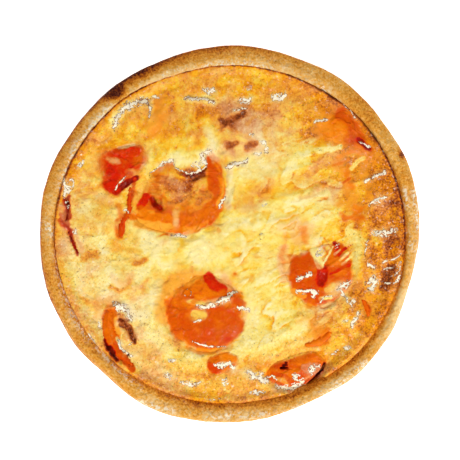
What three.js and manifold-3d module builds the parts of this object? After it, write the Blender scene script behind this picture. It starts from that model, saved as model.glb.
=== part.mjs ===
// A round baked quiche, 120 mm across: a plain-edged shortcrust case, filled with set egg
// custard under melted cheese, with cherry-tomato halves, wedges and strips sunk into its top.
// Millimetres, +Z up. The origin is the centre of the flat base, on the surface it stands on.
// Seen from above, +X points right and +Y away from the viewer.
import * as THREE from "three";
import { mergeVertices } from "three/addons/utils/BufferGeometryUtils.js";
import Module from "manifold-3d";

const wasm = await Module();
wasm.setup();

// ---- Driving dimensions ----
const RIM_RADIUS = 60; // outer edge of the crust at its widest
const CASE_HEIGHT = 25; // base to the crest of the rim
const RIM_SHOULDER = 22.8; // height at which the outer face is widest
const BASE_RADIUS = 51.5; // flat underside, out to its rounded edge
const BASE_THICKNESS = 3.6;
const FOOT_BEVEL = 1; // rounding of the underside's edge
const WALL = 5; // crust thickness at the side
const FLOOR_FILLET = 3.5; // rounding where the inner wall meets the floor
const FILLING_LEVEL = 22; // mean height of the custard's top
const EDGE_SWELL = 0.5; // the custard puffs up this much more towards its edge than in its middle
const EDGE_SHRINK = 0.9; // and draws down by this much where it meets the crust
const EDGE_SHRINK_TILT = 0.5; // less so at the far side, more at the near side
const GAP = 0.3; // clearance between touching pieces
const CASE_SEGMENTS = 72; // facets round the crust
const FILLING_CELLS = 34; // grid cells across the custard's top
const STRIP_SIDES = 8; // facets round a tomato strip
const OPEN_HEIGHT = CASE_HEIGHT + 2; // pockets are cut up to here

// ---- Unevenness of hand-pressed pastry, by angle ----
const OUT_OF_ROUND = [
  { waves: 2, size: 0.006, turn: 0.7 },
  { waves: 3, size: 0.004, turn: 2.1 },
  { waves: 5, size: 0.0025, turn: 4.4 },
];
const RIM_HEIGHT_WAVES = [
  { waves: 1, size: 0.4, turn: 1.4 },
  { waves: 2, size: 0.2, turn: 1.2 },
  { waves: 5, size: 0.22, turn: 0.3 },
  { waves: 9, size: 0.12, turn: 2.6 },
];
const RIM_LEAN = 1; // the crest sits inward at the far side and outward at the near side
const RIM_LEAN_ANGLE = 1.8;

const waveSum = (waves, angle) =>
  waves.reduce((sum, w) => sum + w.size * Math.cos(w.waves * angle + w.turn), 0);
const outOfRound = (angle) => 1 + waveSum(OUT_OF_ROUND, angle);
const smooth = THREE.MathUtils.smoothstep;

// ---- Relief of the custard: [x, y, half-length, half-width, turn in degrees, rise] ----
const SWELLS = [
  [5.1, 31.5, 8.0, 7.0, 0, 1.2], // browned blister at the far side
  [-30.8, 37.6, 6.0, 3.8, 38, 1.0], // oval blister, far left
  [-22.8, 35.0, 3.0, 5.0, 0, 0.6], // small bump beside it
  [34.5, 32.0, 8.5, 7.0, -30, 0.8], // tomato buried under cheese
  [-14.0, 31.0, 7.0, 8.0, 0, 0.7], // cheese piled behind the large half
  [-13.5, 24.0, 9.0, 3.0, 8, 0.8], // its front edge, hanging over the half
  [-34.0, -15.0, 5.0, 4.0, 0, 0.6], // low dome at the left
  [-22.0, -24.0, 9.0, 3.2, -70, 0.7], // cheese beside the near-left wedge
  [47.0, -3.0, 4.0, 9.0, 8, 0.7], // swollen edge at the right
  [38.0, -26.0, 7.0, 5.0, 40, 0.6], // swollen edge, near right
  [-42.0, 4.0, 6.0, 9.0, 0, 0.5], // swollen edge at the left
  [3.0, -46.0, 12.0, 4.0, 0, 0.4], // swollen edge at the near side
];
// Folds of melted grated cheese: [from x, from y, to x, to y, half-width, rise]
const FOLDS = [
  [10.0, 17.0, 24.0, 22.0, 1.7, 0.7],
  [18.0, 23.0, 34.0, 29.0, 1.8, 0.8],
  [12.0, 9.0, 33.0, 14.0, 2.0, 0.7],
  [5.0, 3.0, 20.0, 4.0, 1.8, 0.5],
  [6.0, -36.0, 24.0, -27.0, 1.9, 0.7],
  [-17.0, -41.0, 2.0, -38.5, 1.8, 0.5],
  [42.0, 5.0, 41.0, -12.0, 1.6, 0.9],
  [-12.0, 42.0, -13.0, 30.0, 1.7, 0.7],
  [-20.0, 42.0, -26.0, 33.0, 1.5, 0.6],
];
// Slow ripples over the whole top: [wavelength, direction in degrees, rise, phase]
const RIPPLES = [
  [26, 20, 0.22, 0.4],
  [17, 105, 0.16, 1.9],
  [12, 62, 0.12, 3.3],
];

function foldDistance(x, y, [x0, y0, x1, y1]) {
  const dx = x1 - x0;
  const dy = y1 - y0;
  const along = THREE.MathUtils.clamp(((x - x0) * dx + (y - y0) * dy) / (dx * dx + dy * dy), 0, 1);
  return Math.hypot(x - x0 - along * dx, y - y0 - along * dy);
}

// Height of the custard's top at a point, before anything is set into it.
function fillingHeight(x, y) {
  const radius = Math.hypot(x, y);
  const angle = Math.atan2(y, x);
  let height = FILLING_LEVEL;
  height += EDGE_SWELL * (smooth(radius, 20, 44) - 0.4);
  height -= (EDGE_SHRINK - EDGE_SHRINK_TILT * Math.sin(angle)) * smooth(radius, 48, 54.5);
  for (const [cx, cy, length, width, turn, rise] of SWELLS) {
    const t = THREE.MathUtils.degToRad(turn);
    const u = ((x - cx) * Math.cos(t) + (y - cy) * Math.sin(t)) / length;
    const v = ((y - cy) * Math.cos(t) - (x - cx) * Math.sin(t)) / width;
    height += rise * Math.exp(-(u * u + v * v));
  }
  for (const fold of FOLDS) {
    const d = foldDistance(x, y, fold) / fold[4];
    height += fold[5] * Math.exp(-d * d);
  }
  for (const [wavelength, direction, rise, phase] of RIPPLES) {
    const t = THREE.MathUtils.degToRad(direction);
    const along = x * Math.cos(t) + y * Math.sin(t);
    height += rise * Math.sin((2 * Math.PI * along) / wavelength + phase);
  }
  return height;
}

// ---- Solids and meshes ----
function toSolid(geometry) {
  geometry.deleteAttribute("normal");
  geometry.deleteAttribute("uv");
  const merged = mergeVertices(geometry, 1e-4);
  const mesh = new wasm.Mesh({
    numProp: 3,
    vertProperties: new Float32Array(merged.attributes.position.array),
    triVerts: new Uint32Array(merged.index.array),
  });
  return new wasm.Manifold(mesh);
}

function toGeometry(solid) {
  const { numProp, numVert, vertProperties, triVerts } = solid.getMesh();
  const positions = new Float32Array(numVert * 3);
  for (let i = 0; i < numVert; i += 1) {
    positions.set(vertProperties.subarray(i * numProp, i * numProp + 3), i * 3);
  }
  const geometry = new THREE.BufferGeometry();
  geometry.setAttribute("position", new THREE.BufferAttribute(positions, 3));
  geometry.setIndex(new THREE.BufferAttribute(new Uint32Array(triVerts), 1));
  geometry.computeVertexNormals();
  return geometry;
}

// Moves every vertex of a geometry by a function of its place.
function reshape(geometry, move) {
  const position = geometry.getAttribute("position");
  const point = new THREE.Vector3();
  for (let i = 0; i < position.count; i += 1) {
    point.fromBufferAttribute(position, i);
    move(point, i);
    position.setXYZ(i, point.x, point.y, point.z);
  }
  return geometry;
}

// ---- Pastry case: a lathed profile, then made uneven ----
// Outer face of the crust at a height: it leans outward, most of all near the base.
const outerRadius = (z) => BASE_RADIUS + (RIM_RADIUS - BASE_RADIUS) * (z / RIM_SHOULDER) ** 0.85;
const innerRadius = (z) => outerRadius(z) - WALL;

function lathed(profile) {
  const points = profile.map(([radius, height]) => new THREE.Vector2(radius, height));
  return new THREE.LatheGeometry(points, CASE_SEGMENTS).rotateX(Math.PI / 2);
}

function pastryCase() {
  const geometry = lathed([
    [0, 0],
    [BASE_RADIUS / 2, 0],
    [BASE_RADIUS - FOOT_BEVEL, 0],
    [outerRadius(FOOT_BEVEL), FOOT_BEVEL],
    [outerRadius(6), 6],
    [outerRadius(12), 12],
    [outerRadius(18), 18],
    [RIM_RADIUS, RIM_SHOULDER],
    [RIM_RADIUS - 0.15 * WALL, CASE_HEIGHT - 0.7],
    [RIM_RADIUS - 0.5 * WALL, CASE_HEIGHT],
    [RIM_RADIUS - 0.82 * WALL, CASE_HEIGHT - 0.8],
    [RIM_RADIUS - WALL, CASE_HEIGHT - 2.6],
    [innerRadius(20), 20],
    [innerRadius(12), 12],
    [innerRadius(5.4), 5.4],
    [innerRadius(BASE_THICKNESS) - FLOOR_FILLET, BASE_THICKNESS],
    [0, BASE_THICKNESS],
  ]);
  return reshape(geometry, (p) => {
    const angle = Math.atan2(p.y, p.x);
    const rimShare = smooth(p.z, CASE_HEIGHT - 4, CASE_HEIGHT);
    const crestShare = smooth(p.z, CASE_HEIGHT - 2, CASE_HEIGHT);
    const lean = -RIM_LEAN * crestShare * Math.cos(angle - RIM_LEAN_ANGLE);
    const scale = outOfRound(angle) * (1 + lean / RIM_RADIUS);
    p.x *= scale;
    p.y *= scale;
    p.z += rimShare * waveSum(RIM_HEIGHT_WAVES, angle);
  });
}

// ---- Custard: a lathed plug that fits the case, cut off by the relief of its top ----
function custardPlug() {
  const geometry = lathed([
    [0, BASE_THICKNESS + GAP],
    [innerRadius(BASE_THICKNESS) - FLOOR_FILLET - GAP, BASE_THICKNESS + GAP],
    [innerRadius(5.4) - 1.2 * GAP, 5.4 + 0.2 * GAP],
    [innerRadius(12) - 1.2 * GAP, 12],
    [innerRadius(20) - 1.2 * GAP, 20],
    [innerRadius(20) - 1.2 * GAP, OPEN_HEIGHT],
    [0, OPEN_HEIGHT],
  ]);
  return reshape(geometry, (p) => {
    const scale = outOfRound(Math.atan2(p.y, p.x));
    p.x *= scale;
    p.y *= scale;
  });
}

// Spreads a square from -1 to 1 into a disc with cells of nearly one size.
function squareToDisc(u, v) {
  if (u === 0 && v === 0) return [0, 0];
  const wide = Math.abs(u) > Math.abs(v);
  const radius = wide ? u : v;
  const angle = wide ? (Math.PI / 4) * (v / u) : Math.PI / 2 - (Math.PI / 4) * (u / v);
  return [radius * Math.cos(angle), radius * Math.sin(angle)];
}

// All that lies under the custard's top, out past the plug's edge.
function underRelief() {
  const geometry = new THREE.BoxGeometry(2, 2, 1, FILLING_CELLS, FILLING_CELLS, 1);
  return reshape(geometry, (p) => {
    const [x, y] = squareToDisc(p.x, p.y);
    p.x = x * RIM_RADIUS;
    p.y = y * RIM_RADIUS;
    p.z = p.z > 0 ? fillingHeight(p.x, p.y) : 0;
  });
}

// ---- Tomato halves and chunks: a closed outline, bellied below and nearly flat above ----
// top is the cut face's edge above the custard's mean level, depth the belly below it, and crown
// the rise of the middle.
const CHUNKS = [
  {
    name: "tomato_half_far_left",
    centre: [-14.6, 13.0],
    outline: [
      [-1.3, 13.0], [-2.4, 7.4], [-6.2, 2.9], [-12.0, 0.2], [-19.7, 1.0], [-26.2, 2.3], [-29.6, 5.4],
      [-28.6, 9.4], [-27.2, 14.0], [-25.4, 19.6], [-20.8, 24.2], [-14.0, 26.2], [-7.8, 25.9], [-3.2, 21.0],
    ],
    top: -0.4,
    depth: 8.5,
    crown: 0.35,
    segments: 32,
  },
  {
    name: "tomato_half_near_middle",
    centre: [-7.5, -24.4],
    outline: [
      [4.2, -24.6], [3.2, -30.4], [-0.6, -35.4], [-6.4, -37.2], [-13.4, -35.4], [-18.6, -29.8],
      [-19.8, -23.8], [-17.4, -18.0], [-12.4, -14.6], [-6.8, -12.8], [-1.6, -15.4], [3.4, -19.6],
    ],
    top: -0.1,
    depth: 7.5,
    crown: 0.8,
    segments: 26,
  },
  {
    name: "tomato_half_right",
    centre: [28.0, -13.0],
    outline: [
      [38.4, -10.0], [38.0, -15.4], [34.6, -19.6], [29.6, -22.4], [24.0, -22.0], [19.4, -17.2], [18.2, -11.8],
      [20.4, -7.2], [25.0, -4.6], [30.2, -3.2], [34.6, -2.6], [37.2, -5.4],
    ],
    top: 0,
    depth: 6.8,
    crown: 0.6,
    segments: 26,
  },
  {
    name: "tomato_wedge_far_left",
    centre: [-34.4, 21.0],
    outline: [
      [-26.8, 25.8], [-28.0, 20.6], [-31.4, 17.0], [-36.2, 13.0], [-39.2, 15.2], [-40.4, 19.4],
      [-41.2, 25.4], [-36.4, 27.2], [-30.4, 28.4],
    ],
    top: 0.6,
    depth: 4.6,
    crown: 0.5,
    segments: 20,
  },
  {
    name: "tomato_piece_near",
    centre: [-2.8, -41.0],
    outline: [
      [2.4, -39.4], [0.6, -42.6], [-4.6, -44.6], [-6.9, -42.8], [-7.1, -39.4], [-3.2, -37.9], [0.2, -37.6],
    ],
    top: 0.3,
    depth: 3.8,
    crown: 0.6,
    segments: 16,
  },
  {
    name: "tomato_wedge_near_right",
    centre: [21.0, -43.4],
    outline: [
      [30.0, -40.8], [28.4, -44.8], [24.6, -47.6], [18.6, -48.8], [13.2, -47.2], [11.6, -44.4], [14.6, -41.0],
      [20.8, -38.4], [27.4, -37.6],
    ],
    top: -0.3,
    depth: 5.0,
    crown: 1.2,
    segments: 26,
  },
  {
    name: "tomato_piece_far_right",
    centre: [36.4, 32.2],
    outline: [
      [40.4, 32.0], [44.6, 27.0], [43.0, 26.0], [37.6, 28.0], [32.4, 29.8], [28.2, 33.4], [31.0, 37.6],
      [35.4, 38.8], [38.6, 36.4],
    ],
    top: 0.8,
    depth: 4.2,
    crown: 0.5,
    segments: 20,
  },
];

// ---- Strips and wedges that lie along a bent line: half-widths at their start, middle and end ----
// height is the custard's level beside them, from its mean; rise and depth reach up and down from it.
const STRIPS = [
  {
    name: "tomato_wedge_near_left",
    line: [[-38.6, -23.2], [-38.9, -29.4], [-37.6, -34.6], [-34.2, -38.8], [-30.8, -41.6]],
    widths: [1.5, 2.9, 0.7],
    height: -0.3,
    rise: 1.5,
    depth: 4.5,
    steps: 8,
  },
  {
    name: "tomato_strip_far_left",
    line: [[-31.6, 15.4], [-32.0, 11.2], [-32.2, 7.6], [-34.2, 3.8], [-34.6, -0.8]],
    widths: [0.7, 1.0, 1.1],
    height: -0.1,
    rise: 0.8,
    depth: 2.4,
    steps: 8,
  },
  {
    name: "tomato_skin_left_edge",
    line: [[-51.4, 11.4], [-51.4, 7.6], [-51.8, 3.4], [-50.6, -0.8], [-49.0, -4.4], [-47.6, -6.2]],
    widths: [0.8, 0.9, 0.5],
    height: -0.6,
    rise: 0.9,
    depth: 3.0,
    steps: 8,
  },
  {
    name: "tomato_strip_near_right",
    line: [[23.4, -35.2], [26.6, -34.8], [29.4, -33.6], [32.0, -31.0]],
    widths: [0.7, 1.6, 0.9],
    height: 0.1,
    rise: 0.7,
    depth: 2.6,
    steps: 6,
  },
  {
    name: "tomato_scrap_right",
    line: [[41.8, -20.8], [43.0, -23.2], [43.9, -26.4]],
    widths: [0.6, 1.3, 0.7],
    height: 0.2,
    rise: 0.6,
    depth: 2.4,
    steps: 4,
  },
];

// Edge of the melted cheese that hangs over the large half, and the ground behind it.
const UNDER_THE_LIP = "tomato_half_far_left";
const CHEESE_LIP = [
  [-26.4, 19.4], [-24.6, 21.6], [-22.0, 22.4], [-19.2, 22.6], [-17.4, 20.8], [-14.4, 20.2], [-12.4, 19.2],
  [-8.6, 20.6], [-7.8, 22.4], [-9.4, 25.4], [-7.2, 26.6], [-7.6, 30.0], [-27.0, 30.0],
];

// Open cracks in the custard, as strips that are cut away: beside the near-left wedge, beside the
// near-right wedge, under that one's skin, and where a blister has burst.
const CRACKS = [
  { line: [[-40.2, -34.0], [-38.0, -38.2], [-34.6, -41.0]], width: 1.0, depth: 3.2 },
  { line: [[15.6, -43.2], [17.0, -40.4]], width: 1.3, depth: 3.5 },
  { line: [[25.0, -48.4], [28.2, -45.6], [30.4, -41.6]], width: 0.7, depth: 2.4 },
  { line: [[-34.6, -27.0], [-32.4, -29.6], [-30.4, -32.4]], width: 1.4, depth: 2.2 },
];

// Points spread evenly along a smooth closed outline, set off outwards by grow.
function outlinePoints({ outline, segments }, grow) {
  const corners = outline.map(([x, y]) => new THREE.Vector3(x, y, 0));
  const curve = new THREE.CatmullRomCurve3(corners, true, "centripetal");
  const clockwise = THREE.ShapeUtils.area(corners.map((p) => new THREE.Vector2(p.x, p.y))) < 0;
  const points = [];
  for (let i = 0; i < segments; i += 1) {
    const share = (clockwise ? segments - i : i) / segments;
    const p = curve.getPointAt(share % 1);
    const t = curve.getTangentAt(share % 1).multiplyScalar(clockwise ? -1 : 1);
    points.push(new THREE.Vector2(p.x + grow * t.y, p.y - grow * t.x));
  }
  return points;
}

// A tomato piece, or with open the pocket that takes it, whose sides run straight up.
function chunk(spec, grow = 0, open = false) {
  const { centre, depth, crown } = spec;
  const top = FILLING_LEVEL + spec.top;
  const edge = outlinePoints(spec, grow);
  // Share of the way out from the centre, and height, from the belly's foot to the crown.
  const belly = [
    [0, top - depth - grow],
    [0.55, top - 0.86 * depth - grow],
    [0.88, top - 0.45 * depth - grow],
    [1, top - 0.1 * depth],
  ];
  const face = open
    ? [[1, OPEN_HEIGHT], [0, OPEN_HEIGHT]]
    : [
        [0.98, top + grow],
        [0.8, top + 0.5 * crown + grow],
        [0.45, top + 0.85 * crown + grow],
        [0, top + crown + grow],
      ];
  const profile = [...belly, ...face].map(([share, height]) => new THREE.Vector2(share, height));
  const geometry = new THREE.LatheGeometry(profile, edge.length);
  geometry.rotateX(Math.PI / 2);
  return toSolid(
    reshape(geometry, (p, i) => {
      const share = Math.hypot(p.x, p.y);
      const rim = edge[Math.floor(i / profile.length) % edge.length];
      p.x = centre[0] + share * (rim.x - centre[0]);
      p.y = centre[1] + share * (rim.y - centre[1]);
    })
  );
}

// Half-width of a strip at a share of its length: three stated widths, joined smoothly.
function stripWidth([start, middle, end], share) {
  const half = share < 0.5 ? [start, middle, share * 2] : [middle, end, share * 2 - 1];
  return THREE.MathUtils.lerp(half[0], half[1], smooth(half[2], 0, 1));
}

// A tomato strip, or with open the pocket that takes it, whose sides run straight up.
function strip({ line, widths, height, rise, depth, steps }, grow = 0, open = false) {
  const curve = new THREE.CatmullRomCurve3(line.map(([x, y]) => new THREE.Vector3(x, y, 0)));
  const widest = Math.max(...widths);
  // A rod along X, whose rings are then laid across the curve.
  const geometry = new THREE.CapsuleGeometry(1, 2, 2, STRIP_SIDES, steps);
  geometry.rotateZ(-Math.PI / 2);
  return toSolid(
    reshape(geometry, (p) => {
      // The rod spans -2 to 2: its caps are pressed into the last part of the line.
      const cap = Math.max(0, Math.abs(p.x) - 1);
      const share = 0.5 + Math.sign(p.x) * (Math.min(1, Math.abs(p.x)) * 0.44 + cap * 0.06);
      const place = curve.getPointAt(share);
      const way = curve.getTangentAt(share);
      const width = stripWidth(widths, share);
      // A strip lies shallower where it is narrow, with its upper side at the same height.
      const thickness = (0.4 + (0.6 * width) / widest) * (rise + depth);
      const halfWidth = width + grow;
      const middle = FILLING_LEVEL + height + rise - thickness / 2;
      const up = open && p.z > 0.01 ? OPEN_HEIGHT - middle : p.z * (thickness / 2 + grow);
      const past = Math.sign(p.x) * cap * grow;
      const across = open && p.z > 0.01 ? Math.sign(p.y) * (1 - cap) : p.y;
      p.set(
        place.x + way.x * past - way.y * across * halfWidth,
        place.y + way.y * past + way.x * across * halfWidth,
        middle + up
      );
    })
  );
}

// The custard's pocket round a chunk. Melted cheese hangs over the far edge of the large half.
function chunkPocket(spec) {
  const pocket = chunk(spec, GAP, true);
  if (spec.name !== UNDER_THE_LIP) return pocket;
  const shape = new THREE.Shape(CHEESE_LIP.map(([x, y]) => new THREE.Vector2(x, y)));
  const lip = new THREE.ExtrudeGeometry(shape, { depth: CASE_HEIGHT, bevelEnabled: false });
  lip.translate(0, 0, FILLING_LEVEL + spec.top - 2);
  return pocket.subtract(toSolid(lip).subtract(chunk(spec, GAP)));
}

function crackCutter({ line, width, depth }) {
  const ends = [line[0], line[line.length - 1]].map(([x, y]) => fillingHeight(x, y));
  const height = (ends[0] + ends[1]) / 2 - FILLING_LEVEL;
  const widths = [width * 0.5, width, width * 0.4];
  return strip({ line, widths, height, rise: 0, depth, steps: 4 }, 0, true);
}

// ---- Assembly ----
const quiche = new THREE.Group();

function addPiece(name, geometry, color, roughness) {
  const material = new THREE.MeshStandardMaterial({ color, roughness, metalness: 0 });
  const mesh = new THREE.Mesh(geometry, material);
  mesh.name = name;
  quiche.add(mesh);
}

const chunks = CHUNKS.map((spec) => ({ spec, solid: chunk(spec), pocket: chunkPocket(spec) }));
const strips = STRIPS.map((spec) => ({ spec, solid: strip(spec), pocket: strip(spec, GAP, true) }));
const tomatoes = [...chunks, ...strips];

let custard = toSolid(custardPlug()).intersect(toSolid(underRelief()));
for (const { pocket } of tomatoes) custard = custard.subtract(pocket);
for (const crack of CRACKS) custard = custard.subtract(crackCutter(crack));

addPiece("pastry_case", toGeometry(toSolid(pastryCase())), "#e0a860", 0.85);
addPiece("custard_filling", toGeometry(custard), "#f4cf7a", 0.45);
for (const { spec, solid } of tomatoes) addPiece(spec.name, toGeometry(solid), "#e0560c", 0.25);

export default quiche;
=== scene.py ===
"""Dresses a packed quiche: baked shortcrust, egg custard under melted cheese, and roasted tomato.

Laid out as a Blender add-on and run as a script. Blender's units are metres; the sizes and places
worked out here are in millimetres in the part's own frame, +X right and +Y away, seen from above.
"""
import functools
import itertools
import math

import bpy
import numpy as np
from mathutils import Matrix, Vector
from mathutils.bvhtree import BVHTree


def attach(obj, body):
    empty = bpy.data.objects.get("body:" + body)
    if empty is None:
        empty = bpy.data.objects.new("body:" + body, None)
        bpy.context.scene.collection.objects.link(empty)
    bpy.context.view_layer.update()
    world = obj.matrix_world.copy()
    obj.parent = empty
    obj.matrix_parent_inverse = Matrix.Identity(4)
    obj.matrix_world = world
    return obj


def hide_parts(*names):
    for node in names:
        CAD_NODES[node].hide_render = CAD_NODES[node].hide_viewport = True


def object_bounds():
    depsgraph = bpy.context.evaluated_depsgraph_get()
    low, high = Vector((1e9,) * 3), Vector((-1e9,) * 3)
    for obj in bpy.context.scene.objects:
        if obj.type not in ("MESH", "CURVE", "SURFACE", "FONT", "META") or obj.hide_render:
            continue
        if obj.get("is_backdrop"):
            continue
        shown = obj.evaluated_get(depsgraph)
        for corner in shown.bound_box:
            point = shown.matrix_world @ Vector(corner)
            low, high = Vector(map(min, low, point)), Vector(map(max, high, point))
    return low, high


bl_info = {
    "name": "Baked quiche",
    "version": (1, 0, 0),
    "blender": (4, 5, 0),
    "location": "3D View > Sidebar > Quiche",
    "description": "Shortcrust case, custard and tomato pieces around a fixed frame",
    "category": "Object",
}

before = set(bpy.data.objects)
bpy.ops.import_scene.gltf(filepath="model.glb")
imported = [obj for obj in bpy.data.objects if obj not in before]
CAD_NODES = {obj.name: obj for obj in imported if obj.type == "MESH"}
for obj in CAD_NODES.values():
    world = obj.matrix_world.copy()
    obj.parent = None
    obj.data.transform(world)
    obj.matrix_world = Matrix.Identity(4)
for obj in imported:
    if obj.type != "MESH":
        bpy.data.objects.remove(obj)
CAD_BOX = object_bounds()
MM = 0.001


def linear(code):
    """Linear red, green and blue of an sRGB hex colour."""
    parts = [int(code[i : i + 2], 16) / 255 for i in (1, 3, 5)]
    return tuple(c / 12.92 if c <= 0.04045 else ((c + 0.055) / 1.055) ** 2.4 for c in parts)


def colour(name, description, code):
    """A colour that the user can change, with an sRGB hex colour as its default."""
    return bpy.props.FloatVectorProperty(
        name=name, description=description, subtype="COLOR", min=0, max=1, default=linear(code)
    )


def length(name, description, millimetres):
    """A size that the user can change, stated in millimetres and held in metres."""
    return bpy.props.FloatProperty(
        name=name, description=description, unit="LENGTH", default=millimetres * MM, precision=4
    )


def slant(name, description, degrees):
    """An angle that the user can change, stated in degrees."""
    return bpy.props.FloatProperty(
        name=name, description=description, subtype="ANGLE", default=math.radians(degrees)
    )


def watts(name, description, value):
    """A light's power that the user can change."""
    return bpy.props.FloatProperty(name=name, description=description, unit="POWER", default=value)


class QuicheSizes(bpy.types.PropertyGroup):
    """Sizes of the quiche and of its finest relief."""

    rim_radius: length("Rim radius", "Outer edge of the crust", 60)
    case_height: length("Case height", "Base to the crest of the rim", 25)
    rim_shoulder: length("Rim shoulder", "Height where the outer face is widest", 22.8)
    base_radius: length("Base radius", "Flat underside", 51.5)
    base_thickness: length("Base thickness", "Crust under the custard", 3.6)
    wall: length("Wall", "Crust thickness at the side", 5)
    filling_level: length("Filling level", "Mean height of the custard's top", 22)
    crumb: length("Crumb", "Grain of the shortcrust's surface", 0.9)
    crumb_relief: length("Crumb relief", "Height of the shortcrust's grain", 0.16)
    wrinkle: length("Wrinkle", "Spacing of wrinkles in dried cheese skin", 2.4)
    pore: length("Pore", "Spacing of pinholes in the custard", 2.6)


class QuicheColours(bpy.types.PropertyGroup):
    """Colours of the pastry, the custard and the tomato, from pale to burnt."""

    crust_pale: colour("Crust, pale", "Least baked pastry", "#F8D08A")
    crust_gold: colour("Crust, golden", "Evenly baked pastry", "#F2AA3C")
    crust_brown: colour("Crust, brown", "Browned pastry", "#D87C14")
    crust_dark: colour("Crust, dark", "Overbaked edge", "#A04A06")
    crust_burnt: colour("Crust, burnt", "Burnt spot", "#4A1202")
    cream: colour("Custard, cream", "Palest custard", "#FCEA9C")
    yellow: colour("Custard, yellow", "Custard under thin cheese", "#F9E070")
    straw: colour("Cheese, straw", "Melted cheese", "#F7C838")
    gold: colour("Cheese, gold", "Lightly toasted cheese", "#F4AC14")
    amber: colour("Cheese, amber", "Toasted cheese", "#E78804")
    brown: colour("Cheese, brown", "Browned cheese", "#A8480A")
    char: colour("Cheese, dark", "Scorched cheese", "#4E1606")
    skin_pale: colour("Cheese skin", "Dried, wrinkled cheese skin", "#FBE6B8")
    skin_tan: colour("Cheese skin, tan", "Browned cheese skin", "#C66420")
    # Painted highlight colour: the pale crests of folds and wrinkles, the cheese's lip, bubbles' rims, pale
    # specks, and the crust's white flecks.
    fold: colour("Fold, crest", "Crest of a dried fold, where fat has gathered", "#FFF4D8")
    # Painted shade colour: the thin dark line along folds' feet, and the dark specks in the fine relief's
    # pits.
    fold_shade: colour("Fold, foot", "Browned juice between dried folds", "#8C4A0E")
    # Painted shade: the darkest tone, for seed pockets, slits and holes, blending into the darkest dried
    # skin.
    tomato_hollow_shade: colour("Tomato, hollow", "Inside of a seed pocket", "#4A0C04")
    tomato_dark: colour("Tomato, dark", "Dried skin", "#9C1402")
    tomato_red: colour("Tomato, red", "Roasted flesh", "#D82000")
    tomato_orange: colour("Tomato, orange", "Flesh wall", "#DA5400")
    tomato_light: colour("Tomato, light", "Thin flesh over custard", "#F07C02")
    tomato_pale: colour("Tomato, pale", "Flesh under a film of custard", "#F8AC34")
    floor: colour("Floor", "Plain white floor", "#FAFAFA")


class QuicheStage(bpy.types.PropertyGroup):
    """Camera and light."""

    distance: length("Camera distance", "Camera to the rim", 900)
    view_width: length("View width", "Width seen at the height of the rim", 145)
    tilt: slant("Tilt", "Camera's lean from straight above", 6)
    lean_towards: slant("Lean towards", "Side that the camera leans to, from +X", 110)
    key_power: watts("Key light", "Softbox at the near right", 3.1)
    fill_power: watts("Fill light", "Panel at the near left", 1.5)
    side_power: watts("Side lights", "Panels left and right", 1.2)
    far_power: watts("Far light", "Panel at the far side", 0.6)
    glint_power: watts("Glints", "Small lamps all round", 0.3)


def sizes():
    """The sizes in millimetres, by name."""
    group = bpy.context.scene.quiche_sizes
    return {key: getattr(group, key) / MM for key in QuicheSizes.__annotations__}


# ---- Number fields ----
GRADIENTS = 256
NOISE_PEAK = 1.7
CREASE_SHARPNESS = 2.6


def smoothstep(value, low, high):
    """Eases from 0 at low to 1 at high."""
    share = np.clip((value - low) / (high - low), 0, 1)
    return share * share * (3 - 2 * share)


def noise(points, wavelength, seed):
    """Smooth noise, about -1 to 1, whose bumps are one wavelength across."""
    rng = np.random.default_rng(seed)
    vectors = rng.normal(size=(GRADIENTS, 3))
    vectors /= np.linalg.norm(vectors, axis=1)[:, None]
    order = rng.permutation(GRADIENTS)
    last = GRADIENTS - 1
    place = points / wavelength
    cell = np.floor(place).astype(int)
    part = place - cell
    fade = part**3 * (part * (part * 6 - 15) + 10)
    total = np.zeros(len(points))
    for corner in itertools.product((0, 1), repeat=3):
        at = cell + corner
        index = order[(order[(order[at[:, 0] & last] + at[:, 1]) & last] + at[:, 2]) & last]
        weight = np.prod(np.where(corner, fade, 1 - fade), axis=1)
        total += weight * np.einsum("ij,ij->i", vectors[index], part - corner)
    return total * NOISE_PEAK


def fractal(points, wavelength, octaves, seed):
    """Noise with finer noise on it, each octave half the size of the last."""
    total = np.zeros(len(points))
    for step in range(octaves):
        total += noise(points, wavelength / 2**step, seed + step) / 2**step
    return total


def creases(points, wavelength, seed):
    """Narrow crests one wavelength apart, 0 to 1, as a wrinkled skin has."""
    return np.clip(1 - CREASE_SHARPNESS * np.abs(noise(points, wavelength, seed)), 0, 1)


def flat_points(x, y):
    """Points in the plane of the top, for noise."""
    return np.stack([x, y, np.zeros_like(x)], axis=1)


def stretched(x, y, turn, stretch):
    """Points whose noise is drawn out along a direction in degrees."""
    t = math.radians(turn)
    along = (x * math.cos(t) + y * math.sin(t)) / stretch
    across = y * math.cos(t) - x * math.sin(t)
    return flat_points(along, across)


def shifted(x, y, shifts):
    """Places moved about by noise, each shift given as its size, wavelength, octaves and seed."""
    flat = flat_points(x, y)
    for size, wavelength, octaves, seed in shifts:
        x = x + size * fractal(flat, wavelength, octaves, seed)
        y = y + size * fractal(flat, wavelength, octaves, seed + 10)
    return x, y


def spots(x, y, rows, sharpness=2):
    """Sum of oval spots: x, y, half length, half width, turn in degrees, strength."""
    total = np.zeros_like(x)
    for cx, cy, long, wide, turn, strength in rows:
        t = math.radians(turn)
        u = ((x - cx) * math.cos(t) + (y - cy) * math.sin(t)) / long
        v = ((y - cy) * math.cos(t) - (x - cx) * math.sin(t)) / wide
        total += strength * np.exp(-np.hypot(u, v) ** sharpness)
    return total


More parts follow.
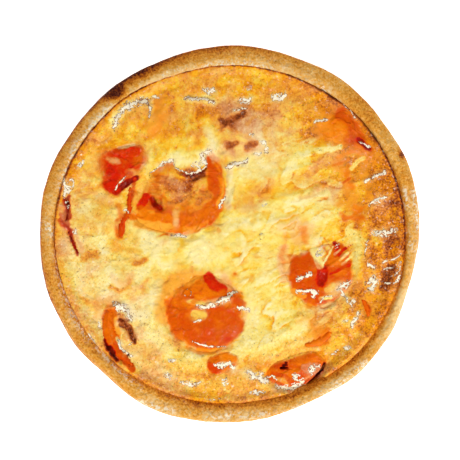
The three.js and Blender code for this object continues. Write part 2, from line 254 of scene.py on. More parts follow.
def line_distance(x, y, line):
    """Distance from a line through a few points, given as x, y, x, y and so on."""
    nearest = np.full_like(x, np.inf)
    for x0, y0, x1, y1 in zip(line[::2], line[1::2], line[2::2], line[3::2]):
        dx, dy = x1 - x0, y1 - y0
        along = np.clip(((x - x0) * dx + (y - y0) * dy) / (dx * dx + dy * dy), 0, 1)
        nearest = np.minimum(nearest, np.hypot(x - x0 - along * dx, y - y0 - along * dy))
    return nearest


def ridges(x, y, rows):
    """Sum of rounded ridges: a line, its half-width and its rise."""
    total = np.zeros_like(x)
    for line, wide, rise in rows:
        total += rise * np.exp(-((line_distance(x, y, line) / wide) ** 2))
    return total


# ---- Meshes ----
def make_object(name, points, faces, material, fields):
    """A smooth-shaded mesh object from points in millimetres, with named fields on its points."""
    mesh = bpy.data.meshes.new(name)
    mesh.from_pydata((np.asarray(points) * MM).tolist(), [], [list(f) for f in faces])
    mesh.polygons.foreach_set("use_smooth", [True] * len(mesh.polygons))
    for key, values in fields.items():
        attribute = mesh.attributes.new(key, "FLOAT", "POINT")
        attribute.data.foreach_set("value", np.asarray(values, np.float32))
    mesh.materials.append(material)
    mesh.validate()
    mesh.update()
    thing = bpy.data.objects.new(name, mesh)
    bpy.context.scene.collection.objects.link(thing)
    return thing


def disc_grid(cells):
    """Points of a unit disc on a square grid with cells of nearly one size, and its quads."""
    steps = np.linspace(-1, 1, cells + 1)
    u, v = (a.ravel() for a in np.meshgrid(steps, steps))
    wide = np.abs(u) > np.abs(v)
    big = np.where(wide, u, v)
    safe = np.where(big == 0, 1, big)
    ratio = np.where(wide, v, u) / safe * math.pi / 4
    angle = np.where(wide, ratio, math.pi / 2 - ratio)
    row = np.arange(cells * (cells + 1)).reshape(cells, cells + 1)[:, :-1].ravel()
    quads = np.stack([row, row + 1, row + cells + 2, row + cells + 1], axis=1)
    side = np.arange(cells)
    last = cells * (cells + 1)
    border = np.concatenate([
        side, side * (cells + 1) + cells, last + cells - side, last - side * (cells + 1)
    ])
    return big * np.cos(angle), big * np.sin(angle), quads, border


def close_below(points, quads, border, rings):
    """Adds rings of points under a disc's border, and closes the last one to a middle point."""
    points = [points]
    faces = quads.tolist()
    count = len(points[0])
    upper = border
    for ring in rings:
        lower = np.arange(count, count + len(border))
        points.append(ring)
        faces += [
            [a, d, c, b]
            for a, b, c, d in zip(upper, np.roll(upper, -1), np.roll(lower, -1), lower)
        ]
        upper = lower
        count += len(border)
    points.append(rings[-1].mean(axis=0)[None])
    faces += [[int(b), int(a), count] for a, b in zip(upper, np.roll(upper, -1))]
    return np.concatenate(points), faces


# ---- Materials ----
# The two colours that a mix node takes, and what it gives.
FIRST, SECOND, MIXED = 6, 7, 2
# The values on the points of custard and tomato, from 0 to 1, that colour them.
FIELDS = ("toast", "skin", "red", "tone", "wrinkle", "fold", "grain")


def link(node, links):
    """Links outputs to a node's inputs."""
    for key, output in links.items():
        node.id_data.links.new(output, node.inputs[key])


def add_node(tree, kind, settings=None, links=None, stops=None, output=0):
    """Adds a shader node with its settings, links and a ramp's stops, and gives one output."""
    node = tree.nodes.new("ShaderNode" + kind)
    for key, value in (settings or {}).items():
        if isinstance(key, int) or key in node.inputs:
            node.inputs[key].default_value = value
        else:
            setattr(node, key, value)
    link(node, links or {})
    if stops:
        elements = node.color_ramp.elements
        while len(elements) < len(stops):
            elements.new(0.5)
        for element, (place, shade) in zip(elements, stops):
            element.position = place
            element.color = (*shade, 1)
    return node.outputs[output]


def new_material(name, settings):
    """A material, its principled shader, and add_node for its tree."""
    material = bpy.data.materials.new(name)
    material.use_nodes = True
    shader = material.node_tree.nodes["Principled BSDF"]
    for key, value in settings.items():
        shader.inputs[key].default_value = value
    return material, shader, functools.partial(add_node, material.node_tree)


def shortcrust_material():
    """Shortcrust pastry, pressed into a tin and baked: matt, sandy, browned where it stands proud.

    The crumb gives the eye a fine grain of paler fat and darker baked specks, with no sheen
    but a little glint from its coat where butter has fried the surface, and white flecks along
    the crest as painted highlights.
    """
    c = bpy.context.scene.quiche_colours
    crumb = sizes()["crumb"]
    material, shader, add = new_material("baked shortcrust", {
        "IOR": 1.45, "Specular IOR Level": 0.15, "Coat Weight": 0.25, "Coat Roughness": 0.22})
    bake = add("Attribute", {"attribute_name": "bake"}, output="Fac")
    glint = add("Attribute", {"attribute_name": "glint"}, output="Fac")
    place = {"Vector": add("TexCoord", output="Object")}
    # Flour and butter specks, drawn at the grain of the crumb, and broader blotches.
    specks = add("TexNoise", {"Scale": 1 / (0.7 * crumb * MM), "Detail": 4, "Roughness": 0.7}, place)
    blotch = add("TexNoise", {"Scale": 1 / (4.5 * MM), "Detail": 4, "Roughness": 0.6}, place)
    grain = add("Math", {"operation": "MULTIPLY_ADD", 1: 1.45, 2: -0.725}, {0: specks})
    patch = add("Math", {"operation": "MULTIPLY_ADD", 1: 0.3, 2: -0.15}, {0: blotch})
    uneven = add("Math", {"operation": "ADD"}, {0: grain, 1: patch})
    baked = add("Math", {"operation": "ADD", "use_clamp": True}, {0: bake, 1: uneven})
    browned = add("ValToRGB", None, {"Fac": baked}, [
        (0, c.crust_pale), (0.35, c.crust_gold), (0.62, c.crust_brown), (0.82, c.crust_dark),
        (1, c.crust_burnt),
    ])
    # Painted highlights: white flecks on the crest, where the glint field says.
    grit = add("TexNoise", {"Scale": 1 / (1.1 * crumb * MM), "Detail": 1, "Distortion": 0.8}, place)
    picked = add("MapRange", {"From Min": 0.48, "From Max": 0.56}, {"Value": grit})
    white = add("Math", {"operation": "MULTIPLY"}, {0: picked, 1: glint})
    topped = add("Mix", {"data_type": "RGBA", SECOND: (*c.fold, 1)}, {0: white, FIRST: browned},
                 output=MIXED)
    rough = add("MapRange", {"To Min": 0.5, "To Max": 0.85}, {"Value": specks})
    pits = add("TexVoronoi", {"Scale": 1 / (1.4 * crumb * MM)}, place)
    sand = add("Math", {"operation": "ADD"}, {0: specks, 1: pits})
    bump = add("Bump", {"Strength": 1, "Distance": 0.5 * MM}, {"Height": sand})
    link(shader, {"Base Color": topped, "Roughness": rough, "Normal": bump})
    return material


def food_colour(add):
    """Colour of cheese, dried cheese skin and tomato, mixed by the fields on the mesh.

    Gives the colour, and the mottling and fine relief that go with it.
    """
    c = bpy.context.scene.quiche_colours
    field = {name: add("Attribute", {"attribute_name": name}, output="Fac") for name in FIELDS}
    place = {"Vector": add("TexCoord", output="Object")}
    mottle = add("TexNoise", {
        "Scale": 1 / (2.6 * MM), "Detail": 5, "Roughness": 0.65, "Distortion": 0.5}, place)
    fleck = add("TexNoise", {"Scale": 1 / (0.6 * MM), "Detail": 2}, place)
    grit = add("TexNoise", {
        "Scale": 1 / (0.9 * MM), "Detail": 2, "Roughness": 0.7, "Distortion": 0.6}, place)
    soft = add("Math", {"operation": "MULTIPLY_ADD", 1: 0.5, 2: -0.25}, {0: mottle})
    centred = add("Math", {"operation": "SUBTRACT", 1: 0.5}, {0: fleck})
    sandy = add("Math", {"operation": "MULTIPLY", 1: 0.75}, {0: field["grain"]})
    uneven = add("Math", {"operation": "MULTIPLY_ADD"}, {0: centred, 1: sandy, 2: soft})
    toast = add("Math", {"operation": "ADD", "use_clamp": True}, {0: field["toast"], 1: uneven})
    cheese = add("ValToRGB", None, {"Fac": toast}, [
        (0, c.cream), (0.16, c.yellow), (0.36, c.straw), (0.52, c.gold), (0.7, c.amber),
        (0.88, c.brown), (1, c.char),
    ])
    skin = add("Mix", {"data_type": "RGBA", FIRST: (*c.skin_pale, 1), SECOND: (*c.skin_tan, 1)},
               {0: toast}, output=MIXED)
    cover = add("Math", {"operation": "MULTIPLY", 1: 0.8}, {0: field["skin"]})
    skinned = add("Mix", {"data_type": "RGBA"}, {0: cover, FIRST: cheese, SECOND: skin}, output=MIXED)
    slight = add("Math", {"operation": "MULTIPLY", 1: 0.6}, {0: uneven})
    tone = add("Math", {"operation": "ADD", "use_clamp": True}, {0: field["tone"], 1: slight})
    flesh = add("ValToRGB", None, {"Fac": tone}, [
        (0, c.tomato_hollow_shade), (0.16, c.tomato_dark), (0.34, c.tomato_red), (0.56, c.tomato_orange),
        (0.78, c.tomato_light), (1, c.tomato_pale),
    ])
    mixed = add("Mix", {"data_type": "RGBA"}, {0: field["red"], FIRST: skinned, SECOND: flesh},
                output=MIXED)
    # Squiggling folds of dried skin: a painted highlight on the crests, and a thin dark line of
    # painted shade along their feet. The mesh says where they are, and a fine noise frays them.
    crinkle = add("TexNoise", {
        "Scale": 1 / (sizes()["wrinkle"] * MM), "Detail": 1, "Distortion": 1.3}, place)
    off = add("Math", {"operation": "SUBTRACT", 1: 0.5}, {0: crinkle})
    away = add("Math", {"operation": "ABSOLUTE"}, {0: off})
    crest = add("Math", {"operation": "MULTIPLY_ADD", 1: -6.5, 2: 1.05, "use_clamp": True}, {0: away})
    patch = add("Math", {"operation": "MULTIPLY"}, {0: crest, 1: field["wrinkle"]})
    either = add("Math", {"operation": "MAXIMUM"}, {0: patch, 1: field["fold"]})
    fray = add("TexNoise", {"Scale": 1 / (0.7 * MM), "Detail": 2}, place)
    # Where there's no fold at all, fraying makes none.
    frayed = add("Math", {"operation": "MULTIPLY_ADD", 1: 1.6, 2: -0.8}, {0: fray})
    level = add("Math", {"operation": "ADD"}, {0: either, 1: frayed})
    black, white = (0, 0, 0), (1, 1, 1)
    # The outline takes painted shade and fat the painted highlight inside it; fat also raises the bump.
    outline = add("ValToRGB", None, {"Fac": level}, [(0.48, black), (0.54, white)])
    fat = add("ValToRGB", None, {"Fac": level}, [(0.64, black), (0.7, white)])
    folded = add("Mix", {"data_type": "RGBA", FIRST: (*c.fold_shade, 1), SECOND: (*c.fold, 1)},
                 {0: fat}, output=MIXED)
    whole = add("Mix", {"data_type": "RGBA"}, {0: outline, FIRST: mixed, SECOND: folded}, output=MIXED)
    # Fine specks, following the fine relief: painted shade in its pits and a painted highlight on its high
    # places.
    for low, high, most, shade in ((0.4, 0.27, 0.9, c.fold_shade), (0.6, 0.74, 0.6, c.fold)):
        picked = add("MapRange", {"From Min": low, "From Max": high, "To Max": most}, {"Value": grit})
        much = add("Math", {"operation": "MULTIPLY"}, {0: picked, 1: field["grain"]})
        whole = add("Mix", {"data_type": "RGBA", SECOND: (*shade, 1)}, {0: much, FIRST: whole},
                    output=MIXED)
    relief = add("Math", {"operation": "MULTIPLY_ADD", 1: 1.6}, {0: grit, 2: fat})
    return whole, mottle, relief


def wet_food(name, settings, roughness, relief):
    """A glossy food coloured by the fields on the mesh, with a range of roughness and a relief."""
    material, shader, add = new_material(name, settings)
    shade, mottle, height = food_colour(add)
    rough = add("MapRange", {"To Min": roughness[0], "To Max": roughness[1]}, {"Value": mottle})
    bump = add("Bump", {"Strength": relief, "Distance": 0.22 * MM}, {"Height": height})
    link(shader, {"Base Color": shade, "Roughness": rough, "Normal": bump, "Coat Normal": bump})
    return material


def custard_material():
    """Egg custard set in the oven under melted, toasted cheese.

    Set custard is pale; the cheese over it browns on its high places, takes up tomato juice, and
    its fat leaves a clear oily coat that glints on every wrinkle. Its folds and wrinkles also get
    painted highlights, and its low places and pits painted shade.
    """
    return wet_food("custard under melted cheese", {
        "IOR": 1.42, "Specular IOR Level": 0.06, "Coat Weight": 0.35, "Coat Roughness": 0.08,
        "Coat IOR": 1.47,
    }, (0.35, 0.6), 0.8)


def tomato_material():
    """Cherry tomato, roasted in the custard: soft, wet flesh that light goes into.

    The flesh is orange to red, darker where the skin has dried, under a wet coat.
    """
    return wet_food("roasted tomato flesh", {
        "IOR": 1.38, "Specular IOR Level": 0.05, "Coat Weight": 0.35, "Coat Roughness": 0.07,
        "Coat IOR": 1.38, "Subsurface Weight": 0.06, "Subsurface Scale": 0.001,
        "Subsurface Radius": (1, 0.3, 0.1),
    }, (0.25, 0.45), 0.6)


# ---- Form of the pastry and the custard, as in the part's source ----
OUT_OF_ROUND = [(2, 0.006, 0.7), (3, 0.004, 2.1), (5, 0.0025, 4.4)]
RIM_HEIGHT_WAVES = [(1, 0.4, 1.4), (2, 0.2, 1.2), (5, 0.22, 0.3), (9, 0.12, 2.6)]
# How far the rim's outside bulges and its inside reaches in, in degrees and mm, as shaped by hand.
RIM_BULGE = [
    (-180, -0.2), (-165, 0.7), (-155, 0.3), (-145, 0.7), (-135, -0.1), (-130, 0), (-125, 0.5),
    (-120, 1.3), (-115, 1.6), (-110, 1.7), (-105, 1.35), (-100, 1), (-90, 0.8), (-80, 0.2),
    (-70, -0.4), (-60, -0.9), (-55, -0.5), (-50, 0), (-40, -0.6), (-35, 0), (-30, -0.5),
    (-20, -1.2), (-10, -1), (0, 0), (15, 0.5), (25, 0.7), (32, 0.3), (40, 0.4), (50, 0.8),
    (55, 1.2), (60, 0.5), (67, -0.1), (90, 0), (100, -0.4), (110, -0.6), (120, -0.3), (130, 0.3),
    (137, -0.3), (150, 0), (165, 0.4), (180, -0.2),
]
RIM_REACH = [
    (-180, 0), (-140, 0.2), (-120, 0.5), (-100, 0.6), (-80, 1.2), (-60, 1.2), (-45, 0.6), (-30, 0.3),
    (-15, 0), (45, 0), (55, 0.8), (65, 1), (90, 1.5), (105, 1.5), (115, 1), (125, 0.2), (135, 0),
    (180, 0),
]
# The crest sits inward at the far side and outward at the near side, and in all a little inward.
RIM_LEAN = 1.5
RIM_LEAN_ANGLE = 1.8
RIM_DRAWN_IN = 0.5
# The custard swells towards its edge and shrinks down beside the crust, most at the near side.
EDGE_SWELL = 0.5
SWELL_RADII = (20, 44)
EDGE_SHRINK = 0.9
EDGE_SHRINK_TILT = 0.5
SHRINK_RADII = (48, 54.5)

# Swollen places: x, y, half length, half width, turn, rise.
SWELLS = [
    (5.1, 31.5, 8, 7, 0, 1.2), (-30.8, 37.6, 6, 3.8, 38, 1), (-22.8, 35, 3, 5, 0, 0.6),
    (34.5, 32, 8.5, 7, -30, 0.8), (-14, 31, 7, 8, 0, 0.7), (-13.5, 24, 9, 3, 8, 0.8),
    (-34, -15, 5, 4, 0, 0.6), (-22, -24, 9, 3.2, -70, 0.7), (47, -3, 4, 9, 8, 0.7),
    (38, -26, 7, 5, 40, 0.6), (-42, 4, 6, 9, 0, 0.5), (3, -46, 12, 4, 0, 0.4),
]
# Folds of melted grated cheese: a line, its half-width and its rise, softer than the solid's.
FOLDS = [
    ([10, 17, 24, 22], 1.7, 0.35), ([18, 23, 34, 29], 1.8, 0.4), ([12, 9, 33, 14], 2, 0.35),
    ([5, 3, 20, 4], 1.8, 0.25), ([6, -36, 24, -27], 1.9, 0.35), ([-17, -41, 2, -38.5], 1.8, 0.3),
    ([42, 5, 41, -12], 1.6, 0.7), ([-12, 42, -13, 30], 1.7, 0.5), ([-20, 42, -26, 33], 1.5, 0.5),
]
# Slow ripples: wavelength, direction in degrees, rise, phase.
RIPPLES = [(26, 20, 0.22, 0.4), (17, 105, 0.16, 1.9), (12, 62, 0.12, 3.3)]


def wave_sum(waves, angle):
    """Sum of waves round the quiche: how many, their size and their phase."""
    return sum(size * np.cos(count * angle + turn) for count, size, turn in waves)


def out_of_round(angle):
    """The case's radius by angle, as a share of a true circle's."""
    return 1 + wave_sum(OUT_OF_ROUND, angle)


def by_angle(rows, angle):
    """Value at an angle in radians, of rows of degrees and values, eased over a few degrees."""
    degrees, values = np.array(rows).T
    steps = (-3, 0, 3)
    raw = [np.interp(np.degrees(angle) + step, degrees, values, period=360) for step in steps]
    return sum(raw) / len(steps)


def broad_relief(x, y):
    """The custard's top as the solid has it."""
    radius = np.hypot(x, y)
    angle = np.arctan2(y, x)
    height = sizes()["filling_level"] + EDGE_SWELL * (smoothstep(radius, *SWELL_RADII) - 0.4)
    shrink = EDGE_SHRINK - EDGE_SHRINK_TILT * np.sin(angle)
    height -= shrink * smoothstep(radius, *SHRINK_RADII)
    height += spots(x, y, SWELLS) + ridges(x, y, FOLDS)
    for wavelength, direction, rise, phase in RIPPLES:
        t = math.radians(direction)
        along = x * math.cos(t) + y * math.sin(t)
        height += rise * np.sin(2 * math.pi * along / wavelength + phase)
    return height


# ---- Tomato chunks, as the solids have them ----
# Each chunk's tone where nothing changes it, and how softly its edge fades into the custard.
CHUNKS = {
    "tomato_half_far_left": (0.58, 0.5), "tomato_half_near_middle": (0.6, 1.4),
    "tomato_half_right": (0.54, 0.8), "tomato_wedge_far_left": (0.42, 2.2),
    "tomato_piece_near": (0.66, 0.8), "tomato_wedge_near_right": (0.55, 1.2),
    "tomato_piece_far_right": (0.62, 3),
}
STRIPS = {
    "tomato_wedge_near_left": 0.58, "tomato_strip_far_left": 0.5, "tomato_skin_left_edge": 0.14,
    "tomato_strip_near_right": 0.7, "tomato_scrap_right": 0.62,
}
# Lower edge of the melted cheese that hangs over the far left half.
LIP = np.array([
    (-33, 9), (-30, 11), (-27.6, 13.4), (-27, 15.2), (-25.1, 19.1), (-22.5, 21.6), (-20.6, 22.5),
    (-18.4, 23.2), (-17.5, 21), (-16.5, 20.3), (-14.9, 19.7), (-12.7, 19.1), (-10.8, 19.7), (-9.2, 20.3),
    (-7.8, 21),
])
LIP_END = -7.5
# A chunk's face runs on this far past its edge, and stands this far above it.
FACE_PAST = 0.6
FACE_ABOVE = 0.3
# The section of a chunk's belly: share of its radius, and share of its depth.
BELLY = [(0, 1), (0.25, 0.98), (0.55, 0.86), (0.88, 0.45), (1, 0.1)]
# Anywhere far from all the chunks and the lip.
FAR_OFF = 99


def mesh_points(mesh):
    """The points of a mesh, in mm."""
    points = np.zeros(len(mesh.vertices) * 3)
    mesh.vertices.foreach_get("co", points)
    return points.reshape(-1, 3) / MM


class Outline:
    """A chunk's edge seen from above, as a radius by angle round its highest point.

    The solid's points lie in rings of the same angles, and the widest of each angle is on the edge.
    """

    def __init__(self, node):
        points = mesh_points(CAD_NODES[node].data)
        top = points[points[:, 2].argmax()]
        self.node = node
        self.centre = top[:2]
        self.top = top[2]
        away = points[:, :2] - self.centre
        radius = np.hypot(*away.T)
        angle = np.round(np.arctan2(away[:, 1], away[:, 0]), 2)
        self.angles = np.unique(angle[radius > 1])
        self.radii = np.array([radius[np.abs(angle - a) < 0.006].max() for a in self.angles])
        widest = np.abs(radius[:, None] - self.radii[None]).min(axis=1) < 0.02
        self.edge = points[widest & (radius > 1), 2].mean()
        self.foot = points[:, 2].min()
        self.seed = 300 + 20 * list(CHUNKS).index(node)

    def radius(self, angle):
        """The edge's radius at an angle, eased over a few degrees."""
        steps = np.linspace(-math.pi, math.pi, 361)
        raw = np.interp(steps, self.angles, self.radii, period=2 * math.pi)[:-1]
        soft = sum(np.roll(raw, k) for k in range(-4, 5)) / 9
        return np.interp(angle, steps[:-1], soft, period=2 * math.pi)

    def outside(self, x, y):
        """How far a point lies outside the edge, negative inside, and its share of the radius."""
        dx, dy = x - self.centre[0], y - self.centre[1]
        reach = self.radius(np.arctan2(dy, dx))
        return np.hypot(dx, dy) - reach, np.hypot(dx, dy) / reach

    def hidden(self, x, y):
        """How far a point lies under the custard, past the ragged edge that it leaves open."""
        flat = flat_points(x, y)
        under = self.outside(x, y)[0]
        ragged = 0.55 + 0.3 * CHUNKS[self.node][1]
        under = under + ragged * fractal(flat, 4.2, 2, self.seed) + 0.25 * noise(flat, 1.2, self.seed + 3)
        if self.node == "tomato_half_far_left":
            under = np.maximum(under, np.minimum(self.lip(x, y), LIP_END - x))
        return under

    def lip(self, x, y):
        """How far a point lies beyond the edge of the cheese that hangs over the far left half."""
        flat = flat_points(x, y)
        beyond = (y - np.interp(x, LIP[:, 0], LIP[:, 1])) * 0.8 + 0.5 * noise(flat, 1.7, 7)
        beyond += 0.25 * noise(flat, 0.8, 9)
        return np.where(x > LIP_END, FAR_OFF, beyond)

    def face(self, x, y):
        """Height of the cut face, which runs on a little past its edge."""
        share = self.outside(x, y)[1]
        crown = self.top - self.edge - FACE_ABOVE
        return self.edge + FACE_ABOVE + crown * np.sqrt(np.clip(1 - share**2, 0, 1))

    def belly(self, x, y):
        """Height of the chunk's underside."""
        share = self.outside(x, y)[1]
        down = np.interp(share, *np.array(BELLY).T)
        return self.edge - down * (self.edge - self.foot)


OUTLINES = {node: Outline(node) for node in CHUNKS}


def strip_tops(x, y, below):
    """Where a strip of tomato shows, or nearly does, the height just under its top; else below."""
    above, nearly, under = 40, 1, 0.1
    tops = np.array(below)
    for node in STRIPS:
        tree = BVHTree.FromObject(CAD_NODES[node], bpy.context.evaluated_depsgraph_get())
        points = mesh_points(CAD_NODES[node].data)
        low, high = points.min(axis=0), points.max(axis=0)
        inside = (x > low[0]) & (x < high[0]) & (y > low[1]) & (y < high[1])
        for i in np.flatnonzero(inside):
            hit = tree.ray_cast(Vector((x[i], y[i], above)) * MM, Vector((0, 0, -1)))[0]
            if hit and hit.z / MM > tops[i] - nearly:
                tops[i] = min(tops[i], hit.z / MM - under)
    return tops


# ---- Relief and colour of the top, all over it ----
# By angle round the edge, in degrees: how far the custard lies below the rim, how sandy it is, and
# how browned.
EDGE_DROP = [(-180, 1.2), (-130, 1.3), (-90, 1.9), (-50, 1.9), (0, 1.5), (50, 1.5), (90, 1.3), (180, 1.2)]
EDGE_GRAIN = [(-180, 0.9), (-150, 1), (0, 1), (60, 0.8), (120, 0.6), (180, 0.7)]
EDGE_TOAST = [(-180, 0.3), (-165, 0.28), (-140, 0.3), (-120, 0.47), (-90, 0.53), (-60, 0.53),
              (-45, 0.55), (-25, 0.68), (0, 0.74), (25, 0.73), (45, 0.64), (65, 0.56), (90, 0.5),
              (125, 0.46), (145, 0.42), (165, 0.4), (180, 0.32)]
# Browned places: x, y, half length, half width, turn and strength, as in the tables after it.
TOASTED = [
    (7.4, 33, 5.6, 6.6, 0, 0.26), (1, 30.6, 5, 5, 0, 0.1),
    # Gold at the far side, and between the pale streaks.
    (-10, 38, 12, 9, 0, 0.2), (-28, 34, 9, 7, 40, 0.16), (30, 38, 12, 8, -30, 0.12),
    (-5, 39.5, 4.5, 2.4, -20, 0.28), (-22.5, 34, 2, 5, 0, 0.14), (8, 12, 9, 2.4, 18, 0.24),
    (15, 18, 8, 1.8, 20, 0.18), (28, 20.5, 6, 1.6, 20, 0.14), (3, 10, 3, 3, 0, 0.16),
    (-42, 18, 5, 5, 0, 0.14), (-40, 30, 4, 5, -40, 0.12), (-42, 6, 4, 3.4, 0, 0.22),
    # Brown and scorched places near the right edge.
    (51.6, 9.6, 2.6, 1.6, 20, 0.3), (49.6, -2.2, 1.6, 4.2, 12, 0.3), (49.8, -13, 2.3, 3.8, 8, 0.4),
    (41, 2, 2, 6, -10, 0.12),
    # Spots on the blister and along the far edge.
    (-0.6, 35.2, 3.4, 1.9, 30, 0.8), (0, 28.3, 1.6, 1.5, 0, 0.6), (6.4, 27.8, 1.5, 1.7, 0, 0.6),
    (5, 47.2, 1.1, 0.9, 0, 0.35),
    # Gold where juice has spread thinly.
    (-16.6, -15.4, 6.6, 3.6, 22, 0.42), (-20.4, -20, 2.2, 4.4, 0, 0.3), (0.4, -15.6, 2.2, 3, 0, 0.2),
    (-28, 16, 2, 4, -20, 0.12), (-30, 12, 3, 3, 0, 0.3),
    # The burst blister, browned and with painted shade in its hollow, and the seed jelly of the far left
    # half.
    (-32.6, -29.6, 4, 1.1, -55, 0.75), (-35.2, -26.2, 1.2, 0.6, -30, 0.6), (-15.6, 15, 9.8, 7, 5, 0.78),
    # Near side.
    (15, -35, 8, 1.6, 25, 0.14), (36, -24, 6, 3, 50, 0.1), (8, -47, 4, 2.4, 0, 0.16),
    (-30, -8, 4, 3, 20, 0.1), (-20, -6, 5, 2, 10, 0.1),
]
# Paler places.
PALE = [
    (-28.3, 32.7, 3.4, 2.8, 0, 0.4), (-8.6, 39.6, 2.4, 4.4, 0, 0.22), (12, -36, 11, 4.4, 12, 0.22),
    (-15, -37.6, 7, 2.6, -5, 0.24), (8, -28, 6, 3, 25, 0.14), (34.6, -18, 4, 3, 0, 0.2),
    (-22.2, 20.3, 2.6, 1, 42, 0.45), (-31, 19, 2.4, 4, -20, 0.2), (-26, 20, 2, 4, -30, 0.2),
    (-12, 23, 5, 2, 0, 0.16), (-6.5, 30, 2, 7, 0, 0.22), (26, 26, 7, 1.6, 25, 0.3),
    (16, 8, 12, 2.6, 10, 0.1), (38.5, 0, 1.6, 6, 0, 0.2), (-47, -12, 5, 9, -10, 0.06),
    (-28, -27, 2.6, 2.2, 0, 0.14), (-32, 1.6, 1.8, 1.8, 0, 0.25), (35, -29, 4, 1.4, 35, 0.2),
    (-36, 37.4, 4.4, 1.2, 42, 0.26), (-25.6, 38.6, 1.6, 3.2, 0, 0.3), (-9.4, 42.6, 4.4, 1.2, 0, 0.3),
    (25, 35.8, 6, 0.9, 12, 0.22), (-17, 5.4, 1.2, 3.4, 0, 0.3), (12, -48, 8, 1.4, 0, 0.2),
    (34, 1, 4, 5, 0, 0.04),
]
# Dried cheese skin.
SKINNED = [
    (5, 33.4, 7.6, 5.6, 0, 0.9), (1.6, 25.6, 5, 3.4, 0, 0.6), (9.4, 24.8, 3, 4, 0, 0.4),
    (-2.4, 41, 6, 2, -15, 0.5), (48, 9.4, 2.4, 3, 0, 0.5), (48.6, 0.4, 3.6, 1.6, 0, 0.4),
    (-52, 2, 1.8, 7, 0, 0.4), (-53, -2.6, 3, 2, 0, 0.35), (26, -45, 4.8, 1.9, 33, 0.6),
    (34.2, -18.4, 4.4, 1.6, 40, 0.8), (29, -23.6, 4.6, 1.2, 22, 0.6), (-22, -35, 3, 3, 0, 0.35),
    (1, -43, 3, 1.6, 0, 0.4), (-40, 18, 4, 6, 0, 0.15), (24, 15, 8, 2, 20, 0.15),
    (-34, -24, 18, 17, 0, 0.55), (-46, -4, 7, 12, 0, 0.35), (-44, 8, 6, 6, 0, 0.3),
    (-18, -44, 14, 5, 0, 0.3), (30, -26, 8, 3, 30, 0.35), (12, -48.5, 14, 3, 0, 0.3),
    (-6, 24, 3, 4, 0, 0.2), (14, 30, 6, 8, 0, 0.3), (10, 20, 6, 4, 0, 0.25),
]
# Tomato juice in the cheese.
JUICY = [
    (-22.9, 35.2, 2.6, 4.6, 0, 0.34), (-31.4, 40, 3.4, 1.8, 38, 0.14), (36, 33, 6, 4.6, -35, 0.3),
    (31, 31.6, 4, 3.4, 0, 0.3), (21.3, -1.2, 4.6, 3.6, 0, 0.46), (16.8, -9.6, 1.6, 5, 0, 0.34),
    (38.6, -12, 3.4, 3.6, 30, 0.36), (25.4, -29.2, 2.6, 3.2, 0, 0.5), (28.4, -32.6, 3.8, 2.2, 32, 0.75),
    (24.6, -37, 6, 2, 12, 0.45), (43.2, -22.8, 2, 3.6, -20, 0.62), (-33.4, -15.2, 2.4, 1.8, 20, 0.34),
    (-21.3, -3.2, 2.4, 2.2, 0, 0.3), (1, -12.4, 0.9, 1.2, 0, 0.85), (-2.5, -11.1, 3.2, 0.8, -15, 0.3),
    (-15.8, -15, 7.2, 2.8, 20, 0.2), (-21, -20, 1.8, 4, -5, 0.3), (0.4, -16.4, 2.2, 2.8, 0, 0.42),
    (-30.8, 10.5, 2.6, 4.2, 0, 0.4), (-34.9, 2, 1.5, 3.4, -8, 0.95), (-32.4, 5.6, 2.8, 1.3, 25, 0.75),
    (-42, 22, 2.4, 3.8, 0, 0.2), (-37, 9.8, 3, 2.4, 0, 0.26), (-50.4, -1, 1.6, 5, 10, 0.3),
    (-42.8, -22, 2, 4, 10, 0.2), (-40, -20.4, 3, 3, 0, 0.2), (0, -47, 5, 2, 0, 0.16),
    (-8.6, -39.4, 2, 2, 0, 0.24), (2.6, -43.4, 3.4, 2, 0, 0.3), (45.4, 24.4, 2, 3.6, 35, 0.34),
    (-21.3, -0.3, 2, 0.5, 0, 1.3), (-21.9, -35.2, 2.4, 2.8, 0, 0.22), (-46, 26, 2, 4, -20, 0.14),
    (20, 47, 8, 2.6, -15, 0.14), (-36.5, 22, 6.4, 7, 0, 0.2), (52, -20, 1.6, 6, -15, 0.2),
]
# Custard or cheese that lies over tomato.
FILMED = [
    (-15.8, -15, 7.2, 2.9, 22, 0.55), (-10.5, -21.3, 3, 0.9, -5, 0.8), (-10, -25.6, 2.8, 1.7, 15, 0.85),
    (-5.6, -21.9, 5.2, 1.3, 8, 0.55), (28.4, -6.4, 2, 3.4, -10, 0.95), (35.4, -7, 2.8, 1, 42, 0.95),
    (31, -4.6, 0.6, 2.4, -25, 0.7), (33.4, -17.8, 4.2, 2, 42, 0.8), (-15.2, 15.6, 9.6, 6.6, 5, 0.95),
    (-17.1, 5.6, 1.1, 3.2, 0, 0.4), (25.4, -45, 3.6, 0.7, 33, 0.4), (-1.8, -41, 3.4, 0.8, 15, 0.7),
    (1.6, -43.4, 2.4, 1.2, 0, 0.5),
]
# Darker tomato below nought, lighter above; the two darkest, in the far left half's seed pocket and
# under the cheese's lip, are painted shade.
TONES = [
    (-23.8, 10.5, 2, 1.5, -35, -0.55), (-23, 1.8, 7.6, 1.3, 0, 0.26), (-11, 18.6, 3.6, 1, 12, -0.5),
    (-4.1, -30.4, 6.6, 3, 0, -0.05), (23.8, -40.4, 5.4, 1.8, 10, 0.2),
]
